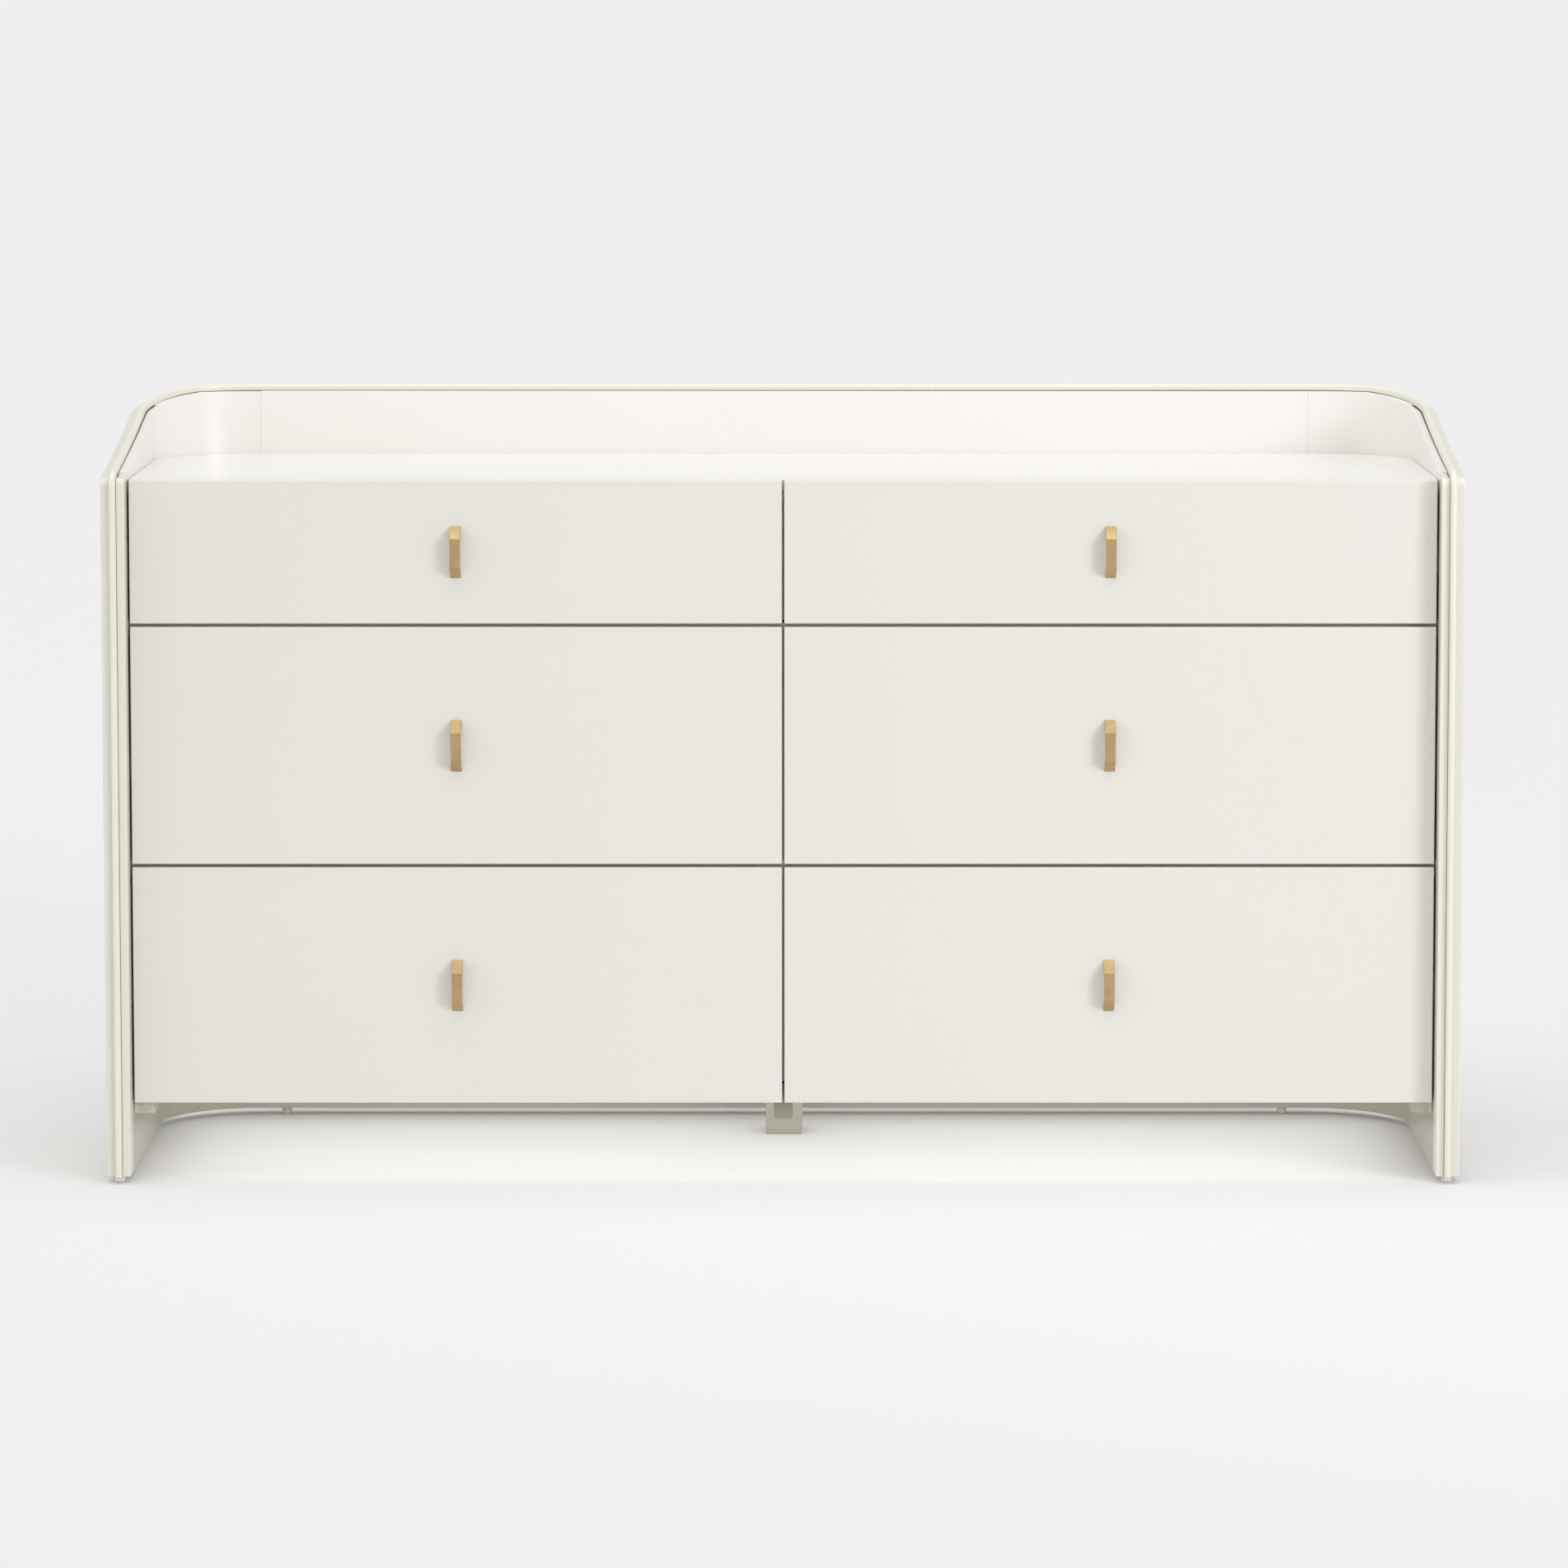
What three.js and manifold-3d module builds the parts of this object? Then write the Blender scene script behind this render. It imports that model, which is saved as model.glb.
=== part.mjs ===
// Six-drawer dresser: two columns of drawers inside a wrap-round shell that
// rises behind the top as a low gallery. Millimetres, +Z up, the front faces -Y.
// The origin is on the floor, under the centre of the dresser.
import * as THREE from "three";
import { mergeVertices } from "three/addons/utils/BufferGeometryUtils.js";
import Module from "manifold-3d";

const wasm = await Module();
wasm.setup();

// ---- driving dimensions -------------------------------------------------

const WIDTH = 1600; // over the outer faces of the side walls
const SHELL_DEPTH = 486; // front strips to the back face
const WALL = 28; // shell, joint and liner together
const SHELL_THICKNESS = 18.5;
const JOINT = 0.3; // gap left between pieces that touch
const CORNER_RADIUS = 145; // outer face of the rounded back corners
const FOOT_GAP = 9; // bottom edge of the shell above the floor

const FRONT_RIM_Z = 838;
const BACK_RIM_Z = 910;
const RIM_LEVEL_AT = 467; // length of wall, from the front, over which the rim climbs
const RIM_CLIMB = [[330, 880], [365, 900]]; // along the wall, height: what shapes the climb
const RIM_ROUND = 10; // rounding where the front edge meets the rim

const BEAD_WIDTH = 8;
const BEAD_PROUD = 8;
const BEAD_ROOT = 5;
const REBATE = 6; // the bead's rebate, with room for glue under its root

const BACK_SEAM_X = 650; // joints of the back pieces with the corner pieces
const CORNER_JOINT = THREE.MathUtils.degToRad(19); // joint of side and corner liners

const TOP_Z = 832.8;
const TOP_THICKNESS = 15;
const FLOOR_PANEL_Z = 94.2;
const FLOOR_PANEL_THICKNESS = 15;
const DIVIDER_THICKNESS = 16;
const RAIL_HEIGHT = 20;
const RAIL_DEPTH = 60;
const RAIL_ABOVE_GAP = 5; // rail top above the middle of the gap it backs

const FACE_RECESS = 26; // drawer faces behind the front strips
const FACE_THICKNESS = 18;
const CASE_SETBACK = 2; // closed drawer faces stay this far off the case
const SIDE_REVEAL = 2.6;
const CENTRE_REVEAL = 2.8;
const ROW_REVEAL = 3.9;
const TOP_ROW_HEIGHT = 169.1;
const LOW_ROW_HEIGHT = 281.7;

const BOX_CLEARANCE = 13; // drawer box to case side, room for the slide
const BOX_DEPTH = 340;
const BOX_WALL = 12;
const BOX_LIFT = 12; // box above the rail or panel under it
const TOP_BOX_HEIGHT = 120;
const LOW_BOX_HEIGHT = 210;
const BASE_SHEET = 5; // drawer bottom
const BASE_GROOVE = 5;
const BASE_RISE = 10;

const SLIDE_LENGTH = 300;
const SLIDE_HEIGHT = 35;
const SLIDE_DEPTH = 10.5;
const SLIDE_SHEET = 1.5;
const RUNNER_HEIGHT = 24;
const RUNNER_REACH = 10; // the runner on the drawer box, into the slide
const RUNNER_LAP = 1; // the runner's hold in the box side
const SLIDE_SETBACK = 1; // slides behind the case's front

const PULL_LENGTH = 61.5;
const PULL_BAR = 34;
const PULL_WIDTH = 12.4;
const PULL_REACH = 18;
const PULL_THICKNESS = 5;

const CLEAT_WIDTH = 24.5;
const CLEAT_HEIGHT = 17;
const CLEAT_STOP = 5; // cleat's back end before the rounded corner
const BATTEN_WIDTH = 22.5;
const BATTEN_HEIGHT = 24;
const LEG_SIZE = 45;
const LEG_SETBACK = 327; // front of the centre leg behind the front strips
const GLIDE_RADIUS = 6;
const GLIDE_EDGE = 2; // rounding of the glide's foot
const GLIDE_SETBACK = 14; // front glides behind the front strips
const GLIDE_INSET = 30; // back glides in from the rounded corners

// How finely curves are stepped.
const CORNER_STEPS = 16;
const CLIMB_STEPS = 13;
const CLIMB_STEP = 25;
const ROUND_STEPS = 6;
const NOSE_STEPS = 8;
const GLIDE_SIDES = 24;
const GLIDE_STEPS = 4;
const ROUND_RUNS = [0.5, 1.5, 3, 5, 7.5]; // stations over the rounding of the front edge
const CLOSEST = 0.4; // stations no nearer than this to a piece's end
const BEAD_LEVELS = [FOOT_GAP, 300, 600]; // heights of the bead's stations up the front edge
const BEAD_CLEAR = 6; // the bead's first station along the rim, past its rounding
const OVERCUT = 1; // cutting tools reach this far past the body

// ---- places worked out from them ----------------------------------------

const DEPTH = SHELL_DEPTH + BEAD_PROUD;
const FRONT = BEAD_PROUD - DEPTH / 2; // front strips
const BACK = DEPTH / 2;
const HALF = WIDTH / 2;
const INNER = HALF - WALL; // half the clear width between the liners
const INNER_BACK = BACK - WALL;
const INNER_RADIUS = CORNER_RADIUS - WALL;
const CORNER_X = HALF - CORNER_RADIUS;
const CORNER_Y = BACK - CORNER_RADIUS;
const SIDE_RUN = CORNER_Y - FRONT;
const CORNER_RUN = (CORNER_RADIUS - WALL / 2) * (Math.PI / 2);
const FACE_Y = FRONT + FACE_RECESS;
const CASE_Y = FACE_Y + FACE_THICKNESS + CASE_SETBACK;
const BAY_MIDDLE = (INNER + DIVIDER_THICKNESS / 2) / 2;
const BAY_WIDTH = INNER - DIVIDER_THICKNESS / 2;
const FACE_WIDTH = INNER - SIDE_REVEAL - CENTRE_REVEAL / 2;
const FACE_SHIFT = BAY_MIDDLE - CENTRE_REVEAL / 2 - FACE_WIDTH / 2; // faces lap the divider
const FLOOR_PANEL_TOP = FLOOR_PANEL_Z + FLOOR_PANEL_THICKNESS;

// ---- materials ----------------------------------------------------------

const finish = (color, roughness, metalness = 0) => () =>
  new THREE.MeshStandardMaterial({ color, roughness, metalness });
const ivoryLacquer = finish(0xeeebe0, 0.32);
const drawerWood = finish(0xd9c9a6, 0.6);
const plywood = finish(0xcdb88f, 0.7);
const rawWood = finish(0xb9b09a, 0.85);
const brass = finish(0xc7a468, 0.35, 1);
const steel = finish(0xb4b6b8, 0.35, 1);
const nylon = finish(0xd8d5c8, 0.5);

// ---- solids -------------------------------------------------------------

function toSolid(geometry) {
  const bare = geometry.clone();
  bare.deleteAttribute("normal");
  bare.deleteAttribute("uv");
  const merged = mergeVertices(bare, 1e-4);
  const mesh = new wasm.Mesh({
    numProp: 3,
    vertProperties: new Float32Array(merged.attributes.position.array),
    triVerts: new Uint32Array(merged.index.array),
  });
  return new wasm.Manifold(mesh);
}

function toGeometry(solid) {
  const mesh = solid.getMesh();
  const geometry = new THREE.BufferGeometry();
  geometry.setAttribute("position", new THREE.BufferAttribute(mesh.vertProperties, 3));
  geometry.setIndex(new THREE.BufferAttribute(mesh.triVerts, 1));
  geometry.computeVertexNormals();
  return geometry;
}

function box(low, high) {
  const size = high.map((value, i) => value - low[i]);
  const middle = high.map((value, i) => (value + low[i]) / 2);
  return new THREE.BoxGeometry(...size).translate(...middle);
}

function cut(body, ...tools) {
  const left = tools.reduce((solid, tool) => solid.subtract(toSolid(tool)), toSolid(body));
  return toGeometry(left);
}

function join(...bodies) {
  return toGeometry(bodies.map(toSolid).reduce((whole, body) => whole.add(body)));
}

// The same shape on the other side of the dresser.
function mirrored(geometry) {
  const loose = geometry.index ? geometry.toNonIndexed() : geometry.clone();
  const flipped = loose.scale(-1, 1, 1);
  const points = flipped.attributes.position;
  const a = new THREE.Vector3();
  const b = new THREE.Vector3();
  for (let i = 0; i < points.count; i += 3) {
    a.fromBufferAttribute(points, i);
    b.fromBufferAttribute(points, i + 1);
    points.setXYZ(i, b.x, b.y, b.z);
    points.setXYZ(i + 1, a.x, a.y, a.z);
  }
  flipped.computeVertexNormals();
  return flipped;
}

// A closed body through rings of points, all with the same count, with flat ends.
function loft(rings) {
  const count = rings[0].length;
  const faces = [];
  for (let r = 0; r + 1 < rings.length; r += 1) {
    for (let i = 0; i < count; i += 1) {
      const j = (i + 1) % count;
      const here = r * count;
      const next = here + count;
      faces.push(here + i, here + j, next + j);
      faces.push(here + i, next + j, next + i);
    }
  }
  const flat = ringPlane(rings[0]);
  const last = (rings.length - 1) * count;
  for (const [a, b, c] of THREE.ShapeUtils.triangulateShape(flat, [])) {
    faces.push(c, b, a);
    faces.push(last + a, last + b, last + c);
  }
  const geometry = new THREE.BufferGeometry().setFromPoints(rings.flat());
  geometry.setIndex(faces);
  return toSolid(geometry).volume() > 0 ? geometry : turnedOut(geometry);
}

// A ring's points in its own plane, for the triangles of the ends.
function ringPlane(ring) {
  const across = ring[1].clone().sub(ring[0]).normalize();
  const normal = new THREE.Vector3();
  ring.forEach((point, i) => {
    const a = point.clone().sub(ring[0]);
    const b = ring[(i + 1) % ring.length].clone().sub(ring[0]);
    normal.add(a.cross(b));
  });
  const up = normal.normalize().cross(across);
  return ring.map((point) => {
    const offset = point.clone().sub(ring[0]);
    return new THREE.Vector2(offset.dot(across), offset.dot(up));
  });
}

function turnedOut(geometry) {
  const order = Array.from(geometry.index.array);
  for (let i = 0; i < order.length; i += 3) {
    [order[i], order[i + 1]] = [order[i + 1], order[i]];
  }
  return geometry.setIndex(order);
}

// ---- the wall's line ----------------------------------------------------

// The rim's height along the wall: a gentle climb along the side, a steeper one
// into the rounded corner, then level along the back.
const rimCurve = new THREE.CubicBezierCurve(
  new THREE.Vector2(0, FRONT_RIM_Z),
  new THREE.Vector2(...RIM_CLIMB[0]),
  new THREE.Vector2(...RIM_CLIMB[1]),
  new THREE.Vector2(RIM_LEVEL_AT, BACK_RIM_Z),
);
const rimPoints = rimCurve.getPoints(80);

function rimHeight(run) {
  const next = rimPoints.findIndex((point) => point.x > run);
  if (next < 1) {
    return BACK_RIM_Z;
  }
  const [a, b] = [rimPoints[next - 1], rimPoints[next]];
  return THREE.MathUtils.mapLinear(run, a.x, b.x, a.y, b.y);
}

// Height of the wall's top, inset by a depth from the rim and the front edge.
function wallTop(run, inset) {
  const radius = RIM_ROUND - inset;
  const short = Math.max(0, radius + inset - run);
  return rimHeight(run) - inset - (radius - Math.sqrt(Math.max(0, radius ** 2 - short ** 2)));
}

// A place on the left wall: run is measured from the front along the wall's
// middle, and offset inwards from the outer face. out is the outward direction.
function wallPlace(run, offset) {
  if (run <= SIDE_RUN) {
    return { x: offset - HALF, y: FRONT + run, out: new THREE.Vector3(-1, 0, 0) };
  }
  if (run < SIDE_RUN + CORNER_RUN) {
    const angle = ((run - SIDE_RUN) / CORNER_RUN) * (Math.PI / 2);
    const radius = CORNER_RADIUS - offset;
    const out = new THREE.Vector3(-Math.cos(angle), Math.sin(angle), 0);
    return { x: out.x * radius - CORNER_X, y: out.y * radius + CORNER_Y, out };
  }
  const x = run - SIDE_RUN - CORNER_RUN - CORNER_X;
  return { x, y: BACK - offset, out: new THREE.Vector3(0, 1, 0) };
}

const backRun = (x) => SIDE_RUN + CORNER_RUN + CORNER_X + x;
const cornerRun = (angle) => SIDE_RUN + (angle / (Math.PI / 2)) * CORNER_RUN;

// Stations along the wall between two runs: close together at the rounding of
// the front edge, over the climb and round the corner, and none on straights.
function wallRuns(start, end) {
  const rounding = start < RIM_ROUND ? [...ROUND_RUNS.map((step) => start + step), RIM_ROUND] : [];
  const climb = Array.from({ length: CLIMB_STEPS }, (_, i) => (i + 1) * CLIMB_STEP);
  const steps = Array.from({ length: CORNER_STEPS + 1 }, (_, i) => i / CORNER_STEPS);
  const corner = steps.map((share) => SIDE_RUN + CORNER_RUN * share);
  const between = [...rounding, ...climb, ...corner];
  const inside = between.filter((run) => run > start + CLOSEST && run < end - CLOSEST);
  return [start, ...inside.sort((a, b) => a - b), end];
}

// A band of the wall, between two offsets from its outer face.
function wallBand(start, end, outer, inner, inset = 0) {
  return loft(
    wallRuns(start, end).map((run) => {
      const top = wallTop(run, inset);
      const a = wallPlace(run, outer);
      const b = wallPlace(run, inner);
      return [
        new THREE.Vector3(a.x, a.y, FOOT_GAP),
        new THREE.Vector3(b.x, b.y, FOOT_GAP),
        new THREE.Vector3(b.x, b.y, top),
        new THREE.Vector3(a.x, a.y, top),
      ];
    }),
  );
}

// ---- shell --------------------------------------------------------------

// The outer shell: a full-height outer strip, and a rebated one for the bead.
function shellPiece(start, end) {
  const strip = SHELL_THICKNESS - BEAD_WIDTH;
  const rebateStart = start === 0 ? REBATE : start;
  return join(
    wallBand(start, end, 0, strip),
    wallBand(rebateStart, end, strip, SHELL_THICKNESS, REBATE),
  );
}

function linerPiece(start, end) {
  return wallBand(start, end, SHELL_THICKNESS + JOINT, WALL);
}

// The bead's section: a flat root in the rebate and a round nose.
function beadSection() {
  const half = BEAD_WIDTH / 2 - JOINT / 2;
  const nose = BEAD_PROUD - half;
  const section = [new THREE.Vector2(-half, -BEAD_ROOT), new THREE.Vector2(half, -BEAD_ROOT)];
  for (let i = 0; i <= NOSE_STEPS; i += 1) {
    const angle = (Math.PI * i) / NOSE_STEPS;
    section.push(new THREE.Vector2(half * Math.cos(angle), nose + half * Math.sin(angle)));
  }
  return section;
}

// The bead's line on the left half, from the foot of the front edge, up over the
// rounding, along the rim and to the middle of the back.
function beadLine() {
  const offset = SHELL_THICKNESS - BEAD_WIDTH / 2;
  const line = BEAD_LEVELS.map((z) => ({ ...wallPlace(0, offset), z }));
  for (let i = 0; i <= ROUND_STEPS; i += 1) {
    const run = RIM_ROUND * (1 - Math.cos((Math.PI / 2) * (i / ROUND_STEPS)));
    line.push({ ...wallPlace(run, offset), z: wallTop(run, 0) });
  }
  const rim = wallRuns(RIM_ROUND + BEAD_CLEAR, backRun(0));
  return [...line, ...rim.map((run) => ({ ...wallPlace(run, offset), z: rimHeight(run) }))];
}

function edgeBead() {
  const left = beadLine().map(({ x, y, z, out }) => ({ at: new THREE.Vector3(x, y, z), out }));
  const right = left.slice(0, -1).reverse();
  const across = new THREE.Vector3(-1, 1, 1);
  const whole = [
    ...left,
    ...right.map(({ at, out }) => ({
      at: at.clone().multiply(across),
      out: out.clone().multiply(across),
    })),
  ];
  const section = beadSection();
  return loft(
    whole.map(({ at, out }, i) => {
      const before = whole[Math.max(0, i - 1)].at;
      const after = whole[Math.min(whole.length - 1, i + 1)].at;
      const along = after.clone().sub(before).normalize();
      const up = along.cross(out).normalize();
      return section.map(({ x, y }) => at.clone().addScaledVector(out, x).addScaledVector(up, y));
    }),
  );
}

// ---- case ---------------------------------------------------------------

// A panel that fills the shell from the drawer faces to the back liner, with
// its back corners rounded to fit.
function casePanel(low, high) {
  const half = INNER - JOINT;
  const back = INNER_BACK - JOINT;
  const radius = INNER_RADIUS - JOINT;
  const outline = new THREE.Shape()
    .moveTo(-half, CASE_Y)
    .lineTo(half, CASE_Y)
    .lineTo(half, CORNER_Y)
    .absarc(CORNER_X, CORNER_Y, radius, 0, Math.PI / 2)
    .lineTo(-CORNER_X, back)
    .absarc(-CORNER_X, CORNER_Y, radius, Math.PI / 2, Math.PI)
    .lineTo(-half, CASE_Y);
  const panel = new THREE.ExtrudeGeometry(outline, {
    depth: high - low,
    bevelEnabled: false,
    curveSegments: CORNER_STEPS,
  });
  return panel.translate(0, 0, low);
}

function centreDivider() {
  const half = DIVIDER_THICKNESS / 2 - JOINT;
  const low = [-half, CASE_Y, FLOOR_PANEL_TOP + JOINT];
  return box(low, [half, INNER_BACK - JOINT, TOP_Z - TOP_THICKNESS - JOINT]);
}

// A rail of one bay, behind the gap between two rows of drawers.
function rail(gapZ) {
  const top = gapZ + RAIL_ABOVE_GAP;
  return box(
    [JOINT - INNER, CASE_Y, top - RAIL_HEIGHT],
    [-DIVIDER_THICKNESS / 2, CASE_Y + RAIL_DEPTH, top],
  );
}

function sideCleat() {
  const top = FLOOR_PANEL_Z - JOINT;
  return box(
    [JOINT - INNER, CASE_Y, top - CLEAT_HEIGHT],
    [JOINT - INNER + CLEAT_WIDTH, CORNER_Y - CLEAT_STOP, top],
  );
}

function centreBatten() {
  const top = FLOOR_PANEL_Z - JOINT;
  return box(
    [-BATTEN_WIDTH / 2, CASE_Y, top - BATTEN_HEIGHT],
    [BATTEN_WIDTH / 2, FRONT + LEG_SETBACK - JOINT, top],
  );
}

function centreLeg() {
  const front = FRONT + LEG_SETBACK;
  return box(
    [-LEG_SIZE / 2, front, 0],
    [LEG_SIZE / 2, front + LEG_SIZE, FLOOR_PANEL_Z - JOINT],
  );
}

// A round glide with a rounded foot.
function glide() {
  const top = FOOT_GAP - JOINT;
  const profile = new THREE.Path()
    .moveTo(0, 0)
    .lineTo(GLIDE_RADIUS - GLIDE_EDGE, 0)
    .absarc(GLIDE_RADIUS - GLIDE_EDGE, GLIDE_EDGE, GLIDE_EDGE, -Math.PI / 2, 0)
    .lineTo(GLIDE_RADIUS, top)
    .lineTo(0, top);
  return new THREE.LatheGeometry(profile.getPoints(GLIDE_STEPS), GLIDE_SIDES).rotateX(Math.PI / 2);
}

// ---- drawers ------------------------------------------------------------

// Rows from the top down: z of the drawer face, and of the box's underside.
function drawerRows() {
  const rows = [];
  let top = TOP_Z;
  for (const [name, height, boxHeight] of [
    ["top", TOP_ROW_HEIGHT, TOP_BOX_HEIGHT],
    ["middle", LOW_ROW_HEIGHT, LOW_BOX_HEIGHT],
    ["bottom", LOW_ROW_HEIGHT, LOW_BOX_HEIGHT],
  ]) {
    const low = top - height;
    const gapZ = low - ROW_REVEAL / 2;
    const support = name === "bottom" ? FLOOR_PANEL_TOP : gapZ + RAIL_ABOVE_GAP;
    rows.push({ name, low, top, gapZ, boxLow: support + BOX_LIFT, boxHeight });
    top = low - ROW_REVEAL;
  }
  return rows;
}

const BOX_HALF = BAY_WIDTH / 2 - BOX_CLEARANCE;
const BOX_FRONT = FACE_Y + FACE_THICKNESS + JOINT;
const SLIDE_START = CASE_Y + SLIDE_SETBACK;

// Every drawer piece is made for the left column about its bay's middle, then
// moved into its bay.
function drawerFace(row) {
  return box(
    [FACE_SHIFT - FACE_WIDTH / 2, FACE_Y, row.low],
    [FACE_SHIFT + FACE_WIDTH / 2, FACE_Y + FACE_THICKNESS, row.top],
  );
}

// Four walls with a groove for the bottom, and the slides' runners on the sides.
function drawerBox(row) {
  const low = row.boxLow;
  const high = low + row.boxHeight;
  const back = BOX_FRONT + BOX_DEPTH;
  const inner = BOX_HALF - BOX_WALL;
  const walls = cut(
    box([-BOX_HALF, BOX_FRONT, low], [BOX_HALF, back, high]),
    box(
      [-inner, BOX_FRONT + BOX_WALL, low - OVERCUT],
      [inner, back - BOX_WALL, high + OVERCUT],
    ),
    box(
      [-inner - BASE_GROOVE, BOX_FRONT + BOX_WALL - BASE_GROOVE, low + BASE_RISE - JOINT],
      [inner + BASE_GROOVE, back - BOX_WALL + BASE_GROOVE, low + BASE_RISE + BASE_SHEET + JOINT],
    ),
  );
  const middle = low + row.boxHeight / 2;
  const runner = box(
    [-BOX_HALF - RUNNER_REACH, SLIDE_START, middle - RUNNER_HEIGHT / 2],
    [RUNNER_LAP - BOX_HALF, SLIDE_START + SLIDE_LENGTH, middle + RUNNER_HEIGHT / 2],
  );
  return join(walls, runner, mirrored(runner));
}

function drawerBase(row) {
  const half = BOX_HALF - BOX_WALL + BASE_GROOVE - JOINT;
  const low = row.boxLow + BASE_RISE;
  return box(
    [-half, BOX_FRONT + BOX_WALL - BASE_GROOVE + JOINT, low],
    [half, BOX_FRONT + BOX_DEPTH - BOX_WALL + BASE_GROOVE - JOINT, low + BASE_SHEET],
  );
}

// A bridge pull: a flat bar with two sloping arms, set upright on the face.
function pull(row) {
  const foot = PULL_LENGTH / 2;
  const bar = PULL_BAR / 2;
  const face = FACE_Y - JOINT;
  const nose = FACE_Y - PULL_REACH;
  const slope = Math.hypot(foot - bar, PULL_REACH) / PULL_REACH;
  const footDepth = PULL_THICKNESS * slope;
  const innerBar = bar - footDepth / 4;
  const outline = new THREE.Shape([
    new THREE.Vector2(face, -foot),
    new THREE.Vector2(face, -foot + footDepth),
    new THREE.Vector2(nose + PULL_THICKNESS, -innerBar),
    new THREE.Vector2(nose + PULL_THICKNESS, innerBar),
    new THREE.Vector2(face, foot - footDepth),
    new THREE.Vector2(face, foot),
    new THREE.Vector2(nose, bar),
    new THREE.Vector2(nose, -bar),
  ]);
  const body = new THREE.ExtrudeGeometry(outline, { depth: PULL_WIDTH, bevelEnabled: false });
  const upright = new THREE.Matrix4().makeBasis(
    new THREE.Vector3(0, 1, 0),
    new THREE.Vector3(0, 0, 1),
    new THREE.Vector3(1, 0, 0),
  );
  body.translate(0, 0, -PULL_WIDTH / 2).applyMatrix4(upright);
  return body.translate(FACE_SHIFT, 0, (row.low + row.top) / 2);
}

// The fixed channel of a drawer slide, open towards the drawer box at its right.
function slideChannel(row) {
  const middle = row.boxLow + row.boxHeight / 2;
  const wall = JOINT - BAY_WIDTH / 2;
  const half = SLIDE_HEIGHT / 2;
  const end = SLIDE_START + SLIDE_LENGTH;
  return cut(
    box([wall, SLIDE_START, middle - half], [wall + SLIDE_DEPTH, end, middle + half]),
    box(
      [wall + SLIDE_SHEET, SLIDE_START - OVERCUT, middle - half + SLIDE_SHEET],
      [wall + SLIDE_DEPTH + OVERCUT, end + OVERCUT, middle + half - SLIDE_SHEET],
    ),
  );
}

// ---- assembly -----------------------------------------------------------

const dresser = new THREE.Group();

function add(name, geometry, material, parent = dresser) {
  const mesh = new THREE.Mesh(geometry, material());
  mesh.name = name;
  parent.add(mesh);
}

function addPair(name, geometry, material) {
  add(`${name}_left`, geometry, material);
  add(`${name}_right`, mirrored(geometry), material);
}

const seam = backRun(-BACK_SEAM_X);
const farSeam = backRun(BACK_SEAM_X);
addPair("shell", shellPiece(0, seam - JOINT), ivoryLacquer);
add("shell_back", shellPiece(seam, farSeam), ivoryLacquer);
addPair("side_liner", linerPiece(0, cornerRun(CORNER_JOINT) - JOINT), ivoryLacquer);
addPair("corner_liner", linerPiece(cornerRun(CORNER_JOINT), seam - JOINT), ivoryLacquer);
add("back_liner", linerPiece(seam, farSeam), ivoryLacquer);
add("edge_bead", edgeBead(), ivoryLacquer);

add("top_panel", casePanel(TOP_Z - TOP_THICKNESS, TOP_Z), ivoryLacquer);
add("bottom_panel", casePanel(FLOOR_PANEL_Z, FLOOR_PANEL_TOP), ivoryLacquer);
add("centre_divider", centreDivider(), ivoryLacquer);
addPair("cleat", sideCleat(), rawWood);
add("centre_batten", centreBatten(), ivoryLacquer);
add("centre_leg", centreLeg(), ivoryLacquer);

const rows = drawerRows();
addPair("upper_rail", rail(rows[0].gapZ), ivoryLacquer);
addPair("lower_rail", rail(rows[1].gapZ), ivoryLacquer);

const glideX = HALF - WALL / 2;
const glideY = BACK - WALL / 2;
for (const [name, x, y] of [
  ["glide_front_left", -glideX, FRONT + GLIDE_SETBACK],
  ["glide_front_right", glideX, FRONT + GLIDE_SETBACK],
  ["glide_back_left", GLIDE_INSET - CORNER_X, glideY],
  ["glide_back_right", CORNER_X - GLIDE_INSET, glideY],
]) {
  add(name, glide().translate(x, y, 0), nylon);
}

for (const [column, side] of [["left", -1], ["right", 1]]) {
  for (const row of rows) {
    const name = `${row.name}_${column}`;
    const bay = new THREE.Group();
    bay.position.x = side * BAY_MIDDLE;
    dresser.add(bay);
    const sided = (geometry) => (side < 0 ? geometry : mirrored(geometry));
    add(`${name}_face`, sided(drawerFace(row)), ivoryLacquer, bay);
    add(`${name}_box`, drawerBox(row), drawerWood, bay);
    add(`${name}_base`, drawerBase(row), plywood, bay);
    add(`${name}_pull`, sided(pull(row)), brass, bay);
    const channel = slideChannel(row);
    add(`${name}_slide_left`, channel, steel, bay);
    add(`${name}_slide_right`, mirrored(channel), steel, bay);
  }
}

export default dresser;
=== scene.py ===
"""A six-drawer dresser in ivory lacquer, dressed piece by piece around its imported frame.

The wall is made as flat boards in a developed space (run along the wall, offset in
from its outer face, height), and then bent round the rounded back corners. Every
other piece is sawn from a block, rounded over and set in its place.
"""

import logging
import math
from collections.abc import Callable, Iterable, Sequence
from dataclasses import dataclass
from enum import Enum

import bmesh
import bpy
from bmesh.types import BMEdge, BMesh, BMFace, BMVert
from bpy.types import Material, Node, NodeSocket
from mathutils import Euler, Matrix, Vector
from mathutils.geometry import interpolate_bezier


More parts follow.
